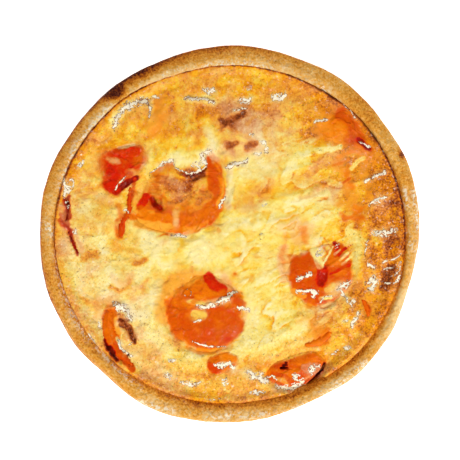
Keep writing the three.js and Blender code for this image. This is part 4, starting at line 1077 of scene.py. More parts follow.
    ([-28.6, 4.4, -24.1, 3.2, -19.1, 2.9], 0.83, 0.64, TOMATO, 1, 0.9),
    ([-4.4, 9.2, -2.5, 13, -2.2, 17.5], 0.38, 0.32, TOMATO, 0.95, 0.8),
    ([-24.8, 14.9, -23.5, 12.4], 0.95, 0.95, CHEESE, 0.6, 0.6),
    ([-10.8, 14.9, -8.3, 17.5], 0.95, 0.95, CHEESE, 0.5, 0.6),
    ([-18.4, 17.5, -15.2, 14.9, -15.9, 11.7], 1.08, 0.95, SKIN, 0.9, 0.5),
    ([-21.6, 14.9, -19.7, 12.4], 0.95, 0.95, CHEESE, 0.56, 0.6),
    ([-14.6, 11.7, -11.4, 13], 0.83, 0.83, CHEESE, 0.72, 0.7),
    # Painted shade in the far left half's seed pocket.
    ([-24.8, 11.4, -23.8, 9.5, -22.2, 8.6], 0.83, 0.44, TOMATO, 0.2, 0.95),
    ([-5.1, 23.2, -3.5, 20], 0.44, 0.38, TOMATO, 0.8, 0.6),
    ([-19.7, -21.3, -19.1, -26.4, -16.5, -30.8], 1.08, 0.95, TOMATO, 0.54, 0.7),
    ([-14, -35.9, -9.5, -37.8, -5.1, -37.5], 0.51, 0.38, TOMATO, 0.92, 0.8),
    ([-10.8, -19.4, -8.3, -20], 0.76, 0.64, TOMATO, 0.84, 0.7),
    ([-17.1, -42.2, -12.7, -43.5], 0.95, 0.95, CHEESE, 0.44, 0.6),
    ([-10.8, -49.2, -8.3, -50.5], 0.95, 0.95, CHEESE, 0.66, 0.6),
    ([-0.6, -48.6, 3.2, -49.8], 0.95, 0.95, CHEESE, 0.6, 0.6),
    ([8.3, -50.5, 11.4, -49.8], 0.95, 0.95, CHEESE, 0.62, 0.6),
    ([-20.3, -39.1, -17.1, -37.8], 0.83, 0.83, CHEESE, 0.04, 0.6),
    ([8.9, -42.2, 12.1, -41], 0.76, 0.95, TOMATO, 0.74, 0.55),
    ([22.2, -39.1, 26, -38.4], 0.76, 0.64, TOMATO, 0.66, 0.7),
    ([13.3, -44.1, 17.1, -45.4, 19.7, -47.3], 0.83, 0.64, TOMATO, 0.42, 0.7),
    ([34.9, 37.1, 37.5, 33.3, 40, 30.2], 0.95, 0.95, TOMATO, 0.5, 0.6),
    ([38.7, 32.1, 41.3, 28.9], 0.76, 0.51, TOMATO, 0.36, 0.7),
    ([37.5, 21.9, 36.2, 18.1, 38.1, 14.9], 0.83, 0.83, TOMATO, 0.62, 0.55),
    ([39.4, 8.6, 41.9, 6, 40, 3.5], 0.76, 0.83, TOMATO, 0.66, 0.5),
    ([34.3, 6, 36.8, 4.1], 0.64, 0.64, TOMATO, 0.6, 0.5),
    # Near piece, far right piece and the juice down the right side.
    ([-2.9, -39.1, 1, -39.4], 1.14, 0.64, TOMATO, 0.8, 1),
    ([-6.3, -41.6, -4.4, -43.2], 1.27, 0.64, TOMATO, 0.44, 0.9),
    ([28.6, 33.3, 31.1, 35.9, 33.7, 34.6], 2.22, 1.91, TOMATO, 0.88, 0.7),
    ([35.9, 38.1, 38.4, 35.6, 39.4, 32.1], 1.46, 1.08, TOMATO, 0.6, 0.9),
    ([40.3, 30.2, 41.9, 28.3, 43.8, 27], 0.89, 0.51, TOMATO, 0.14, 0.95),
    ([28.3, 26.4, 31.1, 27, 34.3, 27.9], 1.02, 0.64, CHEESE, 0.06, 0.9),
    ([33.3, 24.1, 35.9, 25.7, 38.7, 26.4], 0.57, 0.51, TOMATO, 0.82, 0.75),
    ([32.7, 21.9, 35.6, 22.9, 37.5, 23.8], 0.48, 0.41, TOMATO, 0.72, 0.75),
    ([35.6, 16.5, 37.5, 17.8], 0.54, 0.32, TOMATO, 0.54, 0.9),
    ([38.1, 21, 40, 22.9, 41.6, 24.1], 0.76, 0.32, CHEESE, 0.2, 0.8),
    ([34.6, 6.7, 36.8, 5.1, 40, 6.7, 42.5, 8.6], 0.57, 0.51, TOMATO, 0.72, 0.75),
    ([38.4, 0.3, 40, -4.1, 39.4, -9.2], 1.27, 1.27, CHEESE, 0.14, 0.8),
    ([44.1, -1.6, 43.2, -6.7, 42.5, -11.7, 43.2, -15.6], 0.83, 0.51, CHEESE, 0.68, 0.85),
    ([51.1, 1.6, 50.2, -2.2, 48.9, -5.7], 0.83, 0.64, CHEESE, 0.88, 0.9),
    ([50.8, -10.5, 49.8, -13.7, 48.6, -16.5], 1.46, 0.83, CHEESE, 0.97, 0.95),
    ([50.8, 10.5, 53, 9.5], 0.95, 0.64, CHEESE, 0.92, 0.9),
    ([-22.4, 40.4, -23, 36, -24, 34], 2.4, 2.2, TOMATO, 0.9, 0.75),
    ([43.2, -22.5, 44.1, -24.1], 0.57, 0.38, TOMATO, 0.5, 0.9),
    # The blister's browned hollows.
    ([-2, 35.6, 0.6, 37, 3.8, 38.7], 1.5, 1.1, CHEESE, 0.95, 0.95),
    ([-1.2, 27.6, 1, 28.8], 1.1, 0.9, CHEESE, 0.92, 0.9),
    ([5.2, 27.4, 7.2, 29.4], 1.15, 0.9, CHEESE, 0.92, 0.9),
    # Over all of these: juice in and beside the right half's fan, and darker orange in the near pieces.
    ([33, -4.1, 35.6, -6.7], 0.95, 0.83, TOMATO, 0.5, 0.5),
    ([31.1, -11.1, 34.9, -10.5, 37.5, -9.2], 0.76, 0.76, TOMATO, 0.46, 0.6),
    ([17.1, 0.3, 16.5, -4.8, 16.8, -9.2], 0.76, 1.08, TOMATO, 0.74, 0.5),
    ([22.2, 1.6, 24.1, -2.2], 0.95, 1.08, TOMATO, 0.72, 0.5),
    ([27.9, -2.2, 30.5, -5.7], 0.32, 0.32, TOMATO, 0.5, 0.6),
    ([29.5, -1, 32.1, -4.4], 0.22, 0.19, TOMATO, 0.42, 0.7),
    ([30.5, -15.6, 34.3, -13.7], 0.76, 0.76, TOMATO, 0.62, 0.5),
    ([27.3, -20, 29.8, -21.9], 0.76, 0.64, TOMATO, 0.44, 0.7),
    ([21, -7.3, 20, -11.1, 21, -14.3], 0.76, 0.76, TOMATO, 0.5, 0.6),
    ([14, -40.3, 17.8, -38.4, 22.2, -37.5], 0.76, 0.51, CHEESE, 0.46, 0.85),
    ([12.7, -46, 15.2, -47.9, 18.4, -49.2], 0.64, 0.51, TOMATO, 0.4, 0.8),
    ([19.7, -41, 23.5, -39.7, 26.7, -38.7], 0.64, 0.64, TOMATO, 0.6, 0.6),
    ([-4.4, -24.4, -0.6, -27, 2.5, -28.3], 1.59, 0.95, TOMATO, 0.56, 0.8),
    ([-3.2, -31.4, 1.3, -30.8], 1.08, 0.83, TOMATO, 0.56, 0.8),
    ([-8.9, -29.5, -5.7, -31.4], 0.95, 0.83, TOMATO, 0.5, 0.6),
]
# Slits and holes: a line, half-width and depth.
CUTS = [
    ([16, -42.6, 17.9, -42.6], 0.36, 1.6),
    ([29.8, -41.4, 29.1, -43.2, 26.2, -46.2, 24.8, -47.6], 0.38, 1.2),
    ([-35.1, -27, -32.7, -27.1], 0.57, 1.3), ([-34.3, -28.3, -32.1, -29.8], 1.02, 0.8),
    ([-32.1, -31.1, -30.5, -33], 0.64, 1), ([-40, -34, -38.1, -37.1, -35.2, -40.2], 0.7, 1),
    ([-24.8, 11.4, -23.8, 9.2, -21.9, 8.3], 0.76, 1.2), ([40, 29.5, 43.8, 27.3], 0.44, 0.6),
    ([-35.9, 14, -33.7, 15.9, -29.5, 18.1], 0.76, 0.5),
]


# Shifts of places by noise, so that nothing has a regular outline: size, wavelength, octaves, seed.
FINE_SHIFTS = [(0.6, 8, 2, 21), (0.35, 1.8, 1, 25)]
LOOSE_SHIFTS = [(1.5, 9, 3, 23), (0.5, 2.2, 1, 29)]
FLOW_SHIFTS = [(1.6, 9, 2, 27)]
# The way that melted cheese has run, in degrees, and how far it is drawn out.
FLOW_TURN, FLOW_STRETCH = 24, 2
# Ragged patches of melted cheese: size and seed.
PATCHES = [(6.5, 51), (3, 57)]
# Sheets of it, one over the next: size, steps, seed, rise, and painted shade along the foot.
SHEETS = [(6.4, 1.5, 51, 0.24, 0.36), (3.4, 1.1, 59, 0.12, 0.2)]
# The custard's level is tied to the crust's over this last stretch.
JOINED_RADII = (49.5, 54)
LEAST_TOAST = 0.15
SCORCHED = 0.72


class Top:
    """The quiche's top at a set of points: its height, and the fields that colour it.

    toast browns the cheese and holds painted shade in its low places and pits, skin dries it and
    holds a painted highlight on the edges of its sheets, red turns it to tomato, tone is the tomato's
    own tone with painted shade in its pockets and slits, wrinkle and fold are its dried folds, whose
    crests take painted highlights, and grain makes it sandy. hidden is how far points lie past the
    chunks' open faces. Given a strip of tomato, the fields are that strip's.
    """

    def __init__(self, x, y, strip=None):
        self.x, self.y, self.strip = x, y, strip
        self.flat = flat_points(x, y)
        self.radius = np.hypot(x, y)
        self.degrees = np.degrees(np.arctan2(y, x))
        self.fine = shifted(x, y, FINE_SHIFTS)
        self.loose = shifted(x, y, LOOSE_SHIFTS)
        self.warped = flat_points(*self.fine)
        self.flow = stretched(*shifted(x, y, FLOW_SHIFTS), FLOW_TURN, FLOW_STRETCH)
        self.ragged = 0.8 * noise(self.flat, 1.8, 151) + 0.5 * noise(self.flat, 0.8, 153)
        self.crumple = 0.07 * fractal(self.flat, 2.2, 3, 61)
        self.pores = smoothstep(noise(self.flat, sizes()["pore"], 81), 0.6, 0.85)
        self.pulp = spots(*self.fine, PULP, 6)
        self.lumps = 0.5 + 0.5 * fractal(self.warped, 3, 3, 77)
        self.add_folds()
        self.add_sheets()
        self.add_level()
        self.add_relief()
        self.add_chunks()
        self.add_juice()
        self.add_browning()
        self.add_skin()
        # Of the strips, only this one has strokes of its own.
        if strip is None or strip == "tomato_wedge_near_left":
            self.add_strokes()
        self.add_grain()
        self.add_lip()
        self.height = self.level + self.relief

    def fields(self):
        """The fields by name, from 0 to 1."""
        return {name: np.clip(getattr(self, name), 0, 1) for name in FIELDS}

    def add_folds(self):
        """Wrinkled patches and single folds, whose crests take painted highlights, and the paler halo round
        both.
        """
        ragged = self.ragged
        wrinkle = smoothstep(spots(*self.fine, WRINKLED, 3) + 0.2 * ragged, 0.2, 0.6)
        fold = np.zeros_like(self.x)
        halo = 0.6 * wrinkle
        for line, wide, strength in FOLD_LINES:
            gone = line_distance(*self.fine, line) / (2.6 * wide)
            halo = np.maximum(halo, strength * (1 - smoothstep(gone, 0.3, 2.2)))
            crest = (0.62 + 0.48 * strength) * (1 - gone)
            fold = np.maximum(fold, crest + 0.22 * ragged * (gone < 1))
            wrinkle = np.maximum(wrinkle, 0.85 * strength * (1 - smoothstep(gone, 0.6, 1.5)))
        self.wrinkle, self.fold, self.halo = wrinkle, fold, halo

    def add_sheets(self):
        """Melted cheese lies in ragged patches. Over the middle and right it has run in sheets.

        Each sheet rises to an edge painted pale as a highlight and ends in a step, with painted shade
        along its foot; the edges of the patches are painted the same way.
        """
        across = smoothstep(self.x - 0.3 * self.y, -14, 16)
        self.streaky = across * smoothstep(-self.radius, -50, -34)
        patches = [fractal(self.warped, size, 2, seed) for size, seed in PATCHES]
        self.broad, self.small = (smoothstep(patch, -0.1, 0.1) for patch in patches)
        self.rims = [np.exp(-(((patch - 0.1) / 0.1) ** 2)) for patch in patches]
        self.feet = [np.exp(-(((patch + 0.1) / 0.07) ** 2)) for patch in patches]
        self.sheets = []
        for size, many, seed, _, _ in SHEETS:
            steps = many * fractal(self.flow, size, 2, seed)
            patchy = np.clip(0.5 + noise(self.flat, 1.3 * size, seed + 2), 0.05, 1.1)
            self.sheets.append((steps - np.floor(steps), self.streaky * patchy))

    def add_level(self):
        """The solid's own height, which stands nearly as high as the crust beside it."""
        self.level = broad_relief(self.x, self.y)
        crust = sizes()["case_height"] - np.interp(self.degrees, *np.array(EDGE_DROP).T)
        crust += wave_sum(RIM_HEIGHT_WAVES, np.radians(self.degrees))
        self.level += (crust - self.level) * smoothstep(self.radius, *JOINED_RADII)

    def add_relief(self):
        """Everything that stands out from that height or is sunk in it, in mm."""
        flat, fine = self.flat, self.fine
        broken = np.clip(0.75 + 0.9 * noise(flat, 3, 45), 0.1, 1.4)
        relief = 0.16 * fractal(flat, 8, 3, 41) - spots(*fine, TEARS, 4)
        relief += ridges(*fine, RIDGES) * broken
        patchy = 0.22 * self.broad + 0.12 * self.small + 0.08 * self.rims[0] + 0.05 * self.rims[1]
        relief += (1 - 0.8 * self.streaky) * patchy
        for (climb, seen), (_, _, _, rise, _) in zip(self.sheets, SHEETS):
            relief += rise * seen * climb
        relief += self.crumple - 0.25 * self.pores
        relief += 0.3 * self.wrinkle * fractal(self.warped, 1.7, 2, 71) + 0.12 * np.clip(self.fold, 0, 1)
        for line, wide, depth in CUTS:
            relief -= depth * np.exp(-((line_distance(self.x, self.y, line) / wide) ** 4))
        relief += self.pulp * (0.9 * self.lumps - 0.3)
        for cx, cy, size, rise in BUBBLES:
            gone = np.hypot(self.x - cx, self.y - cy) / size
            ring = np.exp(-(((gone - 1) / 0.2) ** 2))
            relief += rise * np.sqrt(np.clip(1 - gone**2, 0, 1)) + 0.2 * ring
            # A painted highlight round each bubble's rim.
            self.fold = np.maximum(self.fold, 0.62 * ring)
        self.relief = relief

    def add_chunks(self):
        """Lets the chunks' faces show where no custard hides them."""
        self.red = np.zeros_like(self.x)
        self.tone = np.full_like(self.x, 0.96)
        self.hidden = np.full_like(self.x, FAR_OFF)
        for name, (own, soft) in CHUNKS.items():
            outline = OUTLINES[name]
            near = outline.outside(self.x, self.y)[0] < 4
            if not near.any():
                continue
            x, y = self.x[near], self.y[near]
            under = outline.hidden(x, y)
            self.level[near] += (outline.face(x, y) - self.level[near]) * smoothstep(-under, -2.5, 0)
            self.red[near] = np.maximum(self.red[near], smoothstep(-under / soft, -1, 1))
            self.tone[near] += (own - self.tone[near]) * smoothstep(-under / soft, -2, 1)
            self.hidden[near] = np.minimum(self.hidden[near], under)
        if self.strip:
            self.red[:] = 1
            self.tone[:] = STRIPS[self.strip]

    def add_juice(self):
        """Juice reddens the cheese, films of custard hide tomato, and tomato varies in tone."""
        flat = self.flat
        juice = np.clip(spots(*self.loose, JUICY, 2) + 0.03 * fractal(flat, 4, 2, 101), 0, 1)
        self.tone -= np.clip(juice - 0.2, 0, 1) * 0.4 * (1 - self.red)
        bare = 1 - np.clip(spots(*self.fine, FILMED, 3), 0, 1)
        self.red = np.clip(self.red + juice * (1 - self.red) * 1.1, 0, 1) * bare
        self.tone += spots(*self.fine, TONES, 2.6) + 0.11 * fractal(flat, 5, 3, 111)
        self.tone += 0.05 * noise(flat, 1.4, 115)

    def add_browning(self):
        """How far the cheese is toasted."""
        x, y, flat, radius, streaky = self.x, self.y, self.flat, self.radius, self.streaky
        ring = np.interp(self.degrees, *np.array(EDGE_TOAST).T)
        toast = LEAST_TOAST + (ring - LEAST_TOAST) * smoothstep(radius, 24, 50)
        left = smoothstep(-x, 20, 50)
        # A darker band at the very edge, most at the left: painted shade where the custard meets the crust.
        toast += (0.1 + 0.12 * left) * smoothstep(radius, 51.5, 54)
        toast += spots(*self.loose, TOASTED) - spots(*self.loose, PALE)
        toast += 0.09 * fractal(flat, 11, 3, 91) + 0.12 * fractal(self.flow, 4.5, 3, 95) * streaky
        blotches = 0.28 * (1 - streaky) * fractal(self.warped, 7, 2, 97)
        toast += blotches * smoothstep(-radius, -50, -44)
        # Painted shade at each sheet's foot, and paler near its top as painted highlight.
        for (climb, seen), (_, _, _, _, brown) in zip(self.sheets, SHEETS):
            foot = 1 - smoothstep(climb, 0, 0.45)
            toast += brown * seen * (foot - 0.4 * smoothstep(climb, 0.6, 0.95))
        # Low places are browned: partly fat and juice gathered there, partly painted shade in the hollows.
        reach = 1.8
        sides = ((reach, 0), (-reach, 0), (0, reach), (0, -reach))
        around = sum(broad_relief(x + dx, y + dy) for dx, dy in sides) / len(sides)
        low = np.clip(around - broad_relief(x, y), -0.06, 0.3)
        toast += 1.2 * low * smoothstep(-radius, -52, -46)
        # The feet of the patches' edges get painted shade.
        patchy = 0.08 * (self.broad - 0.5) + 0.06 * (self.small - 0.5) + 0.12 * sum(self.feet)
        toast += (0.5 + 0.5 * smoothstep(toast, 0.15, 0.5)) * patchy
        # Raised crumples paler and their hollows darker: painted shade and light.
        toast -= 1.5 * self.crumple + 0.2 * self.halo
        # Painted shade in the pinholes and between the seed jelly's lumps.
        toast += 0.3 * self.pores + 0.8 * self.pulp * (0.5 - self.lumps)
        # Dark specks, each smaller than a grain of salt, and most of them at the left.
        specks = 0.5 * smoothstep(noise(flat, 0.9, 131), 0.72, 0.85)
        toast += specks * (0.3 + 0.7 * smoothstep(-x, -30, 20))
        self.toast = np.minimum(toast, SCORCHED + 0.4 * (toast - SCORCHED))

    def add_skin(self):
        """How far the cheese has dried to a pale skin, with painted highlights on the edges of its sheets
        and patches.
        """
        skin = spots(*self.loose, SKINNED) * (0.8 + 0.5 * noise(self.flat, 3, 123))
        dry = 0.25 * smoothstep(fractal(self.flow, 5.5, 2, 121), -0.1, 0.5)
        skin += 0.2 * self.wrinkle + 0.3 * self.halo + dry * smoothstep(-self.x, -44, -32)
        # Painted highlight: the patches' rims and the top of each sheet's climb.
        climb, seen = self.sheets[0]
        self.skin = skin + (0.15 * self.rims[0] + 0.35 * seen * smoothstep(climb, 0.55, 0.95))

    def add_strokes(self):
        """Lays the strokes down, each over the ones before it."""
        flat, ragged = self.flat, self.ragged
        bend = fractal(flat, 5, 2, 171), fractal(flat, 5, 2, 181)
        for line, wide, soft, kind, value, strength in STROKES:
            gone = line_distance(self.x + 0.9 * soft * bend[0], self.y + 0.9 * soft * bend[1], line)
            close = gone < wide + 2 * soft + 0.5
            edge = gone[close] + (0.2 + 0.3 * soft) * ragged[close]
            share = strength * (1 - smoothstep(edge, wide - 0.6 * soft, wide + 0.6 * soft))
            aims = {
                TOMATO: ((self.red, 1), (self.tone, value)),
                CHEESE: ((self.red, 0), (self.toast, value), (self.skin, 0.2)),
                FILM: ((self.red, 0.5), (self.tone, value), (self.skin, 0.9)),
                SKIN: ((self.red, 0), (self.skin, value)),
            }
            for layer, aim in aims[kind]:
                layer[close] += (aim - layer[close]) * share

    def add_grain(self):
        """How sandy the surface is: smooth in the middle and on tomato, sandy round the edge."""
        smooth = 0.2
        sandy = np.interp(self.degrees, *np.array(EDGE_GRAIN).T)
        grain = smooth + (sandy - smooth) * smoothstep(self.radius, 18, 48)
        self.grain = np.maximum(grain * (1 - 0.9 * self.red), 0.55 * self.pulp * (1 - self.red))

    def add_lip(self):
        """The cheese over the far left half ends in a ragged lip with a painted highlight along it, and
        painted shade on the tomato under it.
        """
        lip = OUTLINES["tomato_half_far_left"].lip(self.x, self.y)
        shown = smoothstep(self.x, -26.5, -24.5) * (self.x < LIP_END)
        self.fold = np.maximum(self.fold, (1.12 - np.abs(lip - 0.3) / 0.5) * shown)
        under = (1 - smoothstep(np.abs(lip + 0.4), 0.2, 0.6)) * shown
        # juice here is how strongly that painted shade shows, more towards the right.
        juice = smoothstep(self.x, -22, -14)
        self.tone -= 0.5 * under * juice
        self.red = np.maximum(self.red, under * juice * 0.9)


# ---- Operators ----
# Painted highlights of white flecks along the crust's crest: a line, half-width and how much.
GLINTS = [
    ([-21.3, 50.8, -12.7, 53, 1, 54.3, 17.5, 52.4], 0.57, 0.8),
    ([19.4, 51.4, 27, 47.9, 34, 41.9], 0.51, 0.8), ([-53.7, 15.2, -48.6, 28.6, -38.4, 40.6], 1.1, 0.75),
    ([-57.8, 3.2, -55.2, 0.3], 1.59, 0.8),
    ([-54.6, -5.4, -53.3, -14.9, -50.2, -24.4, -45.1, -32.1], 1.3, 0.7),
    ([54.9, 14.3, 55.6, 8.6], 0.76, 0.9), ([57.8, 13.7, 59.1, 1.6], 0.83, 0.9),
    ([53.7, 1.6, 57.8, -4.1], 1.27, 0.7), ([51.8, -17.1, 48.9, -24.8, 43.8, -31.8], 0.41, 1),
    ([42.9, -40.6, 34.9, -46.7, 27.9, -50.8], 1.08, 0.8),
    ([-1.6, -57.1, 6.3, -57.5, 13.7, -56.2], 0.89, 0.8),
    ([-28.9, -53, -23.8, -54.3, -18.7, -55.9], 0.95, 0.9), ([-7.9, -57.5, 1, -58.4], 0.76, 0.7),
    ([-42.5, -35.6, -35.6, -42.9, -28.6, -48.6], 0.64, 0.6), ([53.3, -9.2, 52.7, -16.2], 0.76, 0.6),
    ([31.8, 43.8, 38.7, 37.5, 45.1, 29.5], 0.64, 0.5), ([15.9, -57.5, 23.8, -53.7], 0.95, 0.6),
]


class QUICHE_OT_crust(bpy.types.Operator):
    """Make the baked shortcrust case"""

    bl_idname = "quiche.crust"
    bl_label = "Shortcrust case"
    turns = 880
    # The section is worked out at this step, in mm, and eased so many times.
    fine_step = 0.1
    easings = 40
    # Spots of the rim: x, y, half length, half width, turn, change in baking.
    spots = [
        (-36.4, 45.4, 3.4, 2.4, 40, 0.6), (-34, 44, 3, 2.2, 40, 0.3), (53.9, 25.4, 1.2, 1.6, 20, 0.5),
        (-26, 51.4, 8, 1.8, 26, 0.2), (-20, 54, 9, 2.5, 20, 0.08), (52, -24, 3, 9, -25, -0.1),
        (30, -50, 12, 3, 30, -0.08), (-24, -54, 12, 3, -25, -0.05), (42, 40, 10, 3, -45, 0.08),
        (-58, 2, 2, 5, 0, -0.14), (-57, -6, 2, 2.6, 0, -0.12),
    ]

    def section(self):
        """Radius and height round the crust's section, from under the middle to the inside floor."""
        s = sizes()
        rim, height, wall = s["rim_radius"], s["case_height"], s["wall"]
        base, shoulder, floor = s["base_radius"], s["rim_shoulder"], s["base_thickness"]

        def outer(z):
            return base + (rim - base) * (z / shoulder) ** 0.85

        corners = np.array([
            (0, 0), (base / 2, 0), (base - 1, 0), (outer(1), 1), (outer(6), 6), (outer(12), 12),
            (outer(18), 18), (rim, shoulder - 0.6), (rim - 0.2 * wall, height - 0.9),
            (rim - 0.45 * wall, height), (rim - 0.7 * wall, height - 0.4), (rim - wall, height - 2.2),
            (outer(20) - wall, 20), (outer(12) - wall, 12), (outer(5.4) - wall, 5.4),
            (outer(floor) - wall - 3.5, floor), (0, floor),
        ], float)
        underside_edge, foot, inner_face = 2, 3, 12
        run = self.run_length(corners)
        fine = np.arange(0, run[-1], self.fine_step)
        soft = np.stack([np.interp(fine, run, corners[:, k]) for k in (0, 1)], axis=1)
        for _ in range(self.easings):
            soft[1:-1] = (soft[:-2] + 2 * soft[1:-1] + soft[2:]) / 4
        # Rows lie close where the crust shows, and wide apart under it and beneath the custard.
        places = [0, run[underside_edge] - 2, run[foot], run[inner_face], run[inner_face] + 3, run[-1]]
        gaps = [8, 0.6, 0.42, 0.5, 4, 8]
        rows = [0]
        while rows[-1] < run[-1] - 4:
            rows.append(rows[-1] + max(np.interp(rows[-1], places, gaps), 0.4))
        rows = np.array(rows[1:])
        return np.stack([np.interp(rows, fine, soft[:, k]) for k in (0, 1)], axis=1)

    @staticmethod
    def run_length(line):
        """Length along a line up to each of its points."""
        return np.concatenate([[0], np.cumsum(np.hypot(*np.diff(line, axis=0).T))])

    def form(self, section, turn):
        """Points of the case without its crumb: the section turned round and shaped by hand."""
        s = sizes()
        crest = s["case_height"]
        radius = np.broadcast_to(section[:, 0], turn.shape)
        height = np.broadcast_to(section[:, 1], turn.shape).copy()
        top = smoothstep(height, crest - 2.2, crest)
        lean = -RIM_LEAN * top * np.cos(turn - RIM_LEAN_ANGLE) - RIM_DRAWN_IN * top
        radius = radius * out_of_round(turn) * (1 + lean / s["rim_radius"])
        # The outside of the rim bulges and its inside reaches over the custard.
        crest_radius = s["rim_radius"] - 0.45 * s["wall"]
        past_crest = np.arange(len(section)) > section[:, 1].argmax()
        inside = (past_crest & (section[:, 0] < crest_radius)) & (height > 10)
        share = np.clip((crest_radius - radius) / (0.5 * s["wall"]), 0, 1) * inside
        bulge = by_angle(RIM_BULGE, turn) * smoothstep(height, 6, 20)
        radius += bulge * (1 - share) - by_angle(RIM_REACH, turn) * share
        height += smoothstep(height, crest - 4, crest) * wave_sum(RIM_HEIGHT_WAVES, turn)
        return np.stack([radius * np.cos(turn), radius * np.sin(turn), height], axis=-1)

    def baking_and_shading(self, section, turn):
        """How baked the case is, with painted shade and light by side: from the crest down the outer
        face, and down the inner slope.
        """
        run = self.run_length(section)
        down = np.broadcast_to(run[section[:, 1].argmax()] - run, turn.shape)

        def side(degrees, low, high):
            return smoothstep(np.cos(turn - math.radians(degrees)), low, high)

        # Painted shade and light, as from lamps at the near right: the far and left sides darker and the
        # near side paler, the far crest paler and the near inner slope darker, over real browning.
        far, near = side(108, 0.6, 1), side(-60, -0.1, 0.95)
        left, far_left = side(200, 0.5, 0.95), side(160, 0.45, 0.85)
        bake = 0.32 - 0.1 * near + 0.13 * left
        bake += smoothstep(down, 0.9, 3) * (0.38 * far + 0.06 * near)
        bake += smoothstep(down, 2.8, 4.8) * (0.2 + 0.27 * left)
        # An overbaked edge below a paler crest, made darker and paler still as painted shade and light on
        # the rounded rim.
        pale_crest = 0.12 * np.exp(-(((down - 0.2) / 1.3) ** 2))
        bake += (0.34 * smoothstep(down, 2, 3.8) - pale_crest) * far_left
        bake -= smoothstep(-down, -1, 0.4) * 0.2 * far
        bake += smoothstep(-down, 1.4, 2.3) * 0.4 * near
        # Lower down the outer face the tin has browned it evenly.
        lower = smoothstep(down, 4.6, 8)
        bake += (0.46 - bake) * lower
        return bake.reshape(-1), 1 - lower.reshape(-1)

    def execute(self, context):
        s = sizes()
        section = self.section()
        rows = len(section)
        angles = np.linspace(0, 2 * math.pi, self.turns, endpoint=False)
        turn = np.repeat(angles[:, None], rows, axis=1)
        points = self.form(section, turn)
        # Crumb stands out along the section's outward direction.
        slope = np.gradient(section, axis=0)
        slope /= np.hypot(*slope.T)[:, None]
        out_radius, out_height = slope[:, 1], -slope[:, 0]

        def everywhere(values):
            return np.broadcast_to(values, turn.shape).reshape(-1)

        flat = points.reshape(-1, 3)
        lumps = 0.2 * fractal(flat, 10, 2, 201)
        upward = everywhere(smoothstep(out_height, 0.3, 0.8))
        crumb = s["crumb_relief"] * fractal(flat, 2.4 * s["crumb"], 2, 211) * (0.3 + 0.9 * upward)
        cracks = -0.25 * upward * smoothstep(creases(flat, 3.4, 221), 0.8, 1)
        pits = -0.3 * upward * smoothstep(noise(flat, 1.9, 231), 0.5, 0.85)
        off_floor = everywhere(smoothstep(section[:, 1], 0.2, 2))
        push = ((lumps + crumb + cracks + pits) * off_floor - 0.1).reshape(turn.shape)
        push = push * (section[:, 0] > s["base_radius"] - 1.5)
        points[..., 0] += push * out_radius * np.cos(turn)
        points[..., 1] += push * out_radius * np.sin(turn)
        points[..., 2] += push * out_height
        flat = points.reshape(-1, 3)
        bake, upper = self.baking_and_shading(section, turn)
        bake = bake + upper * spots(flat[:, 0], flat[:, 1], self.spots, 3)
        # Painted shade: darker in the cracks and pits.
        bake += 0.13 * fractal(flat, 12, 3, 241) - 0.25 * (cracks + pits)
        bake += 0.07 * (smoothstep(fractal(flat, 2.6, 2, 251), -0.15, 0.15) - 0.5)
        glint = np.zeros(len(flat))
        for line, wide, much in GLINTS:
            gone = line_distance(flat[:, 0], flat[:, 1], line)
            glint = np.maximum(glint, much * np.exp(-((gone / wide) ** 2)))
        # The painted highlights stay on the rim's upward faces.
        glint *= everywhere(smoothstep(out_height, -0.1, 0.2) * (section[:, 1] > 15))
        index = np.arange(self.turns * rows).reshape(self.turns, rows)
        after = np.roll(index, -1, axis=0)
        quads = np.stack([index[:, :-1], after[:, :-1], after[:, 1:], index[:, 1:]], axis=-1)
        faces = quads.reshape(-1, 4).tolist()
        # The underside and the inside floor close to a point in their middle.
        middles = np.array([[0, 0, section[0, 1]], [0, 0, section[-1, 1]]])
        under, floor = index.size, index.size + 1
        faces += [[under, int(b), int(a)] for a, b in zip(index[:, 0], after[:, 0])]
        faces += [[floor, int(a), int(b)] for a, b in zip(index[:, -1], after[:, -1])]
        fields = {"bake": np.clip(np.append(bake, [0.5, 0.5]), 0, 1), "glint": np.append(glint, [0, 0])}
        points = np.concatenate([flat, middles])
        crust = make_object("shortcrust_case", points, faces, shortcrust_material(), fields)
        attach(crust, "root")
        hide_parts("pastry_case")
        return {"FINISHED"}


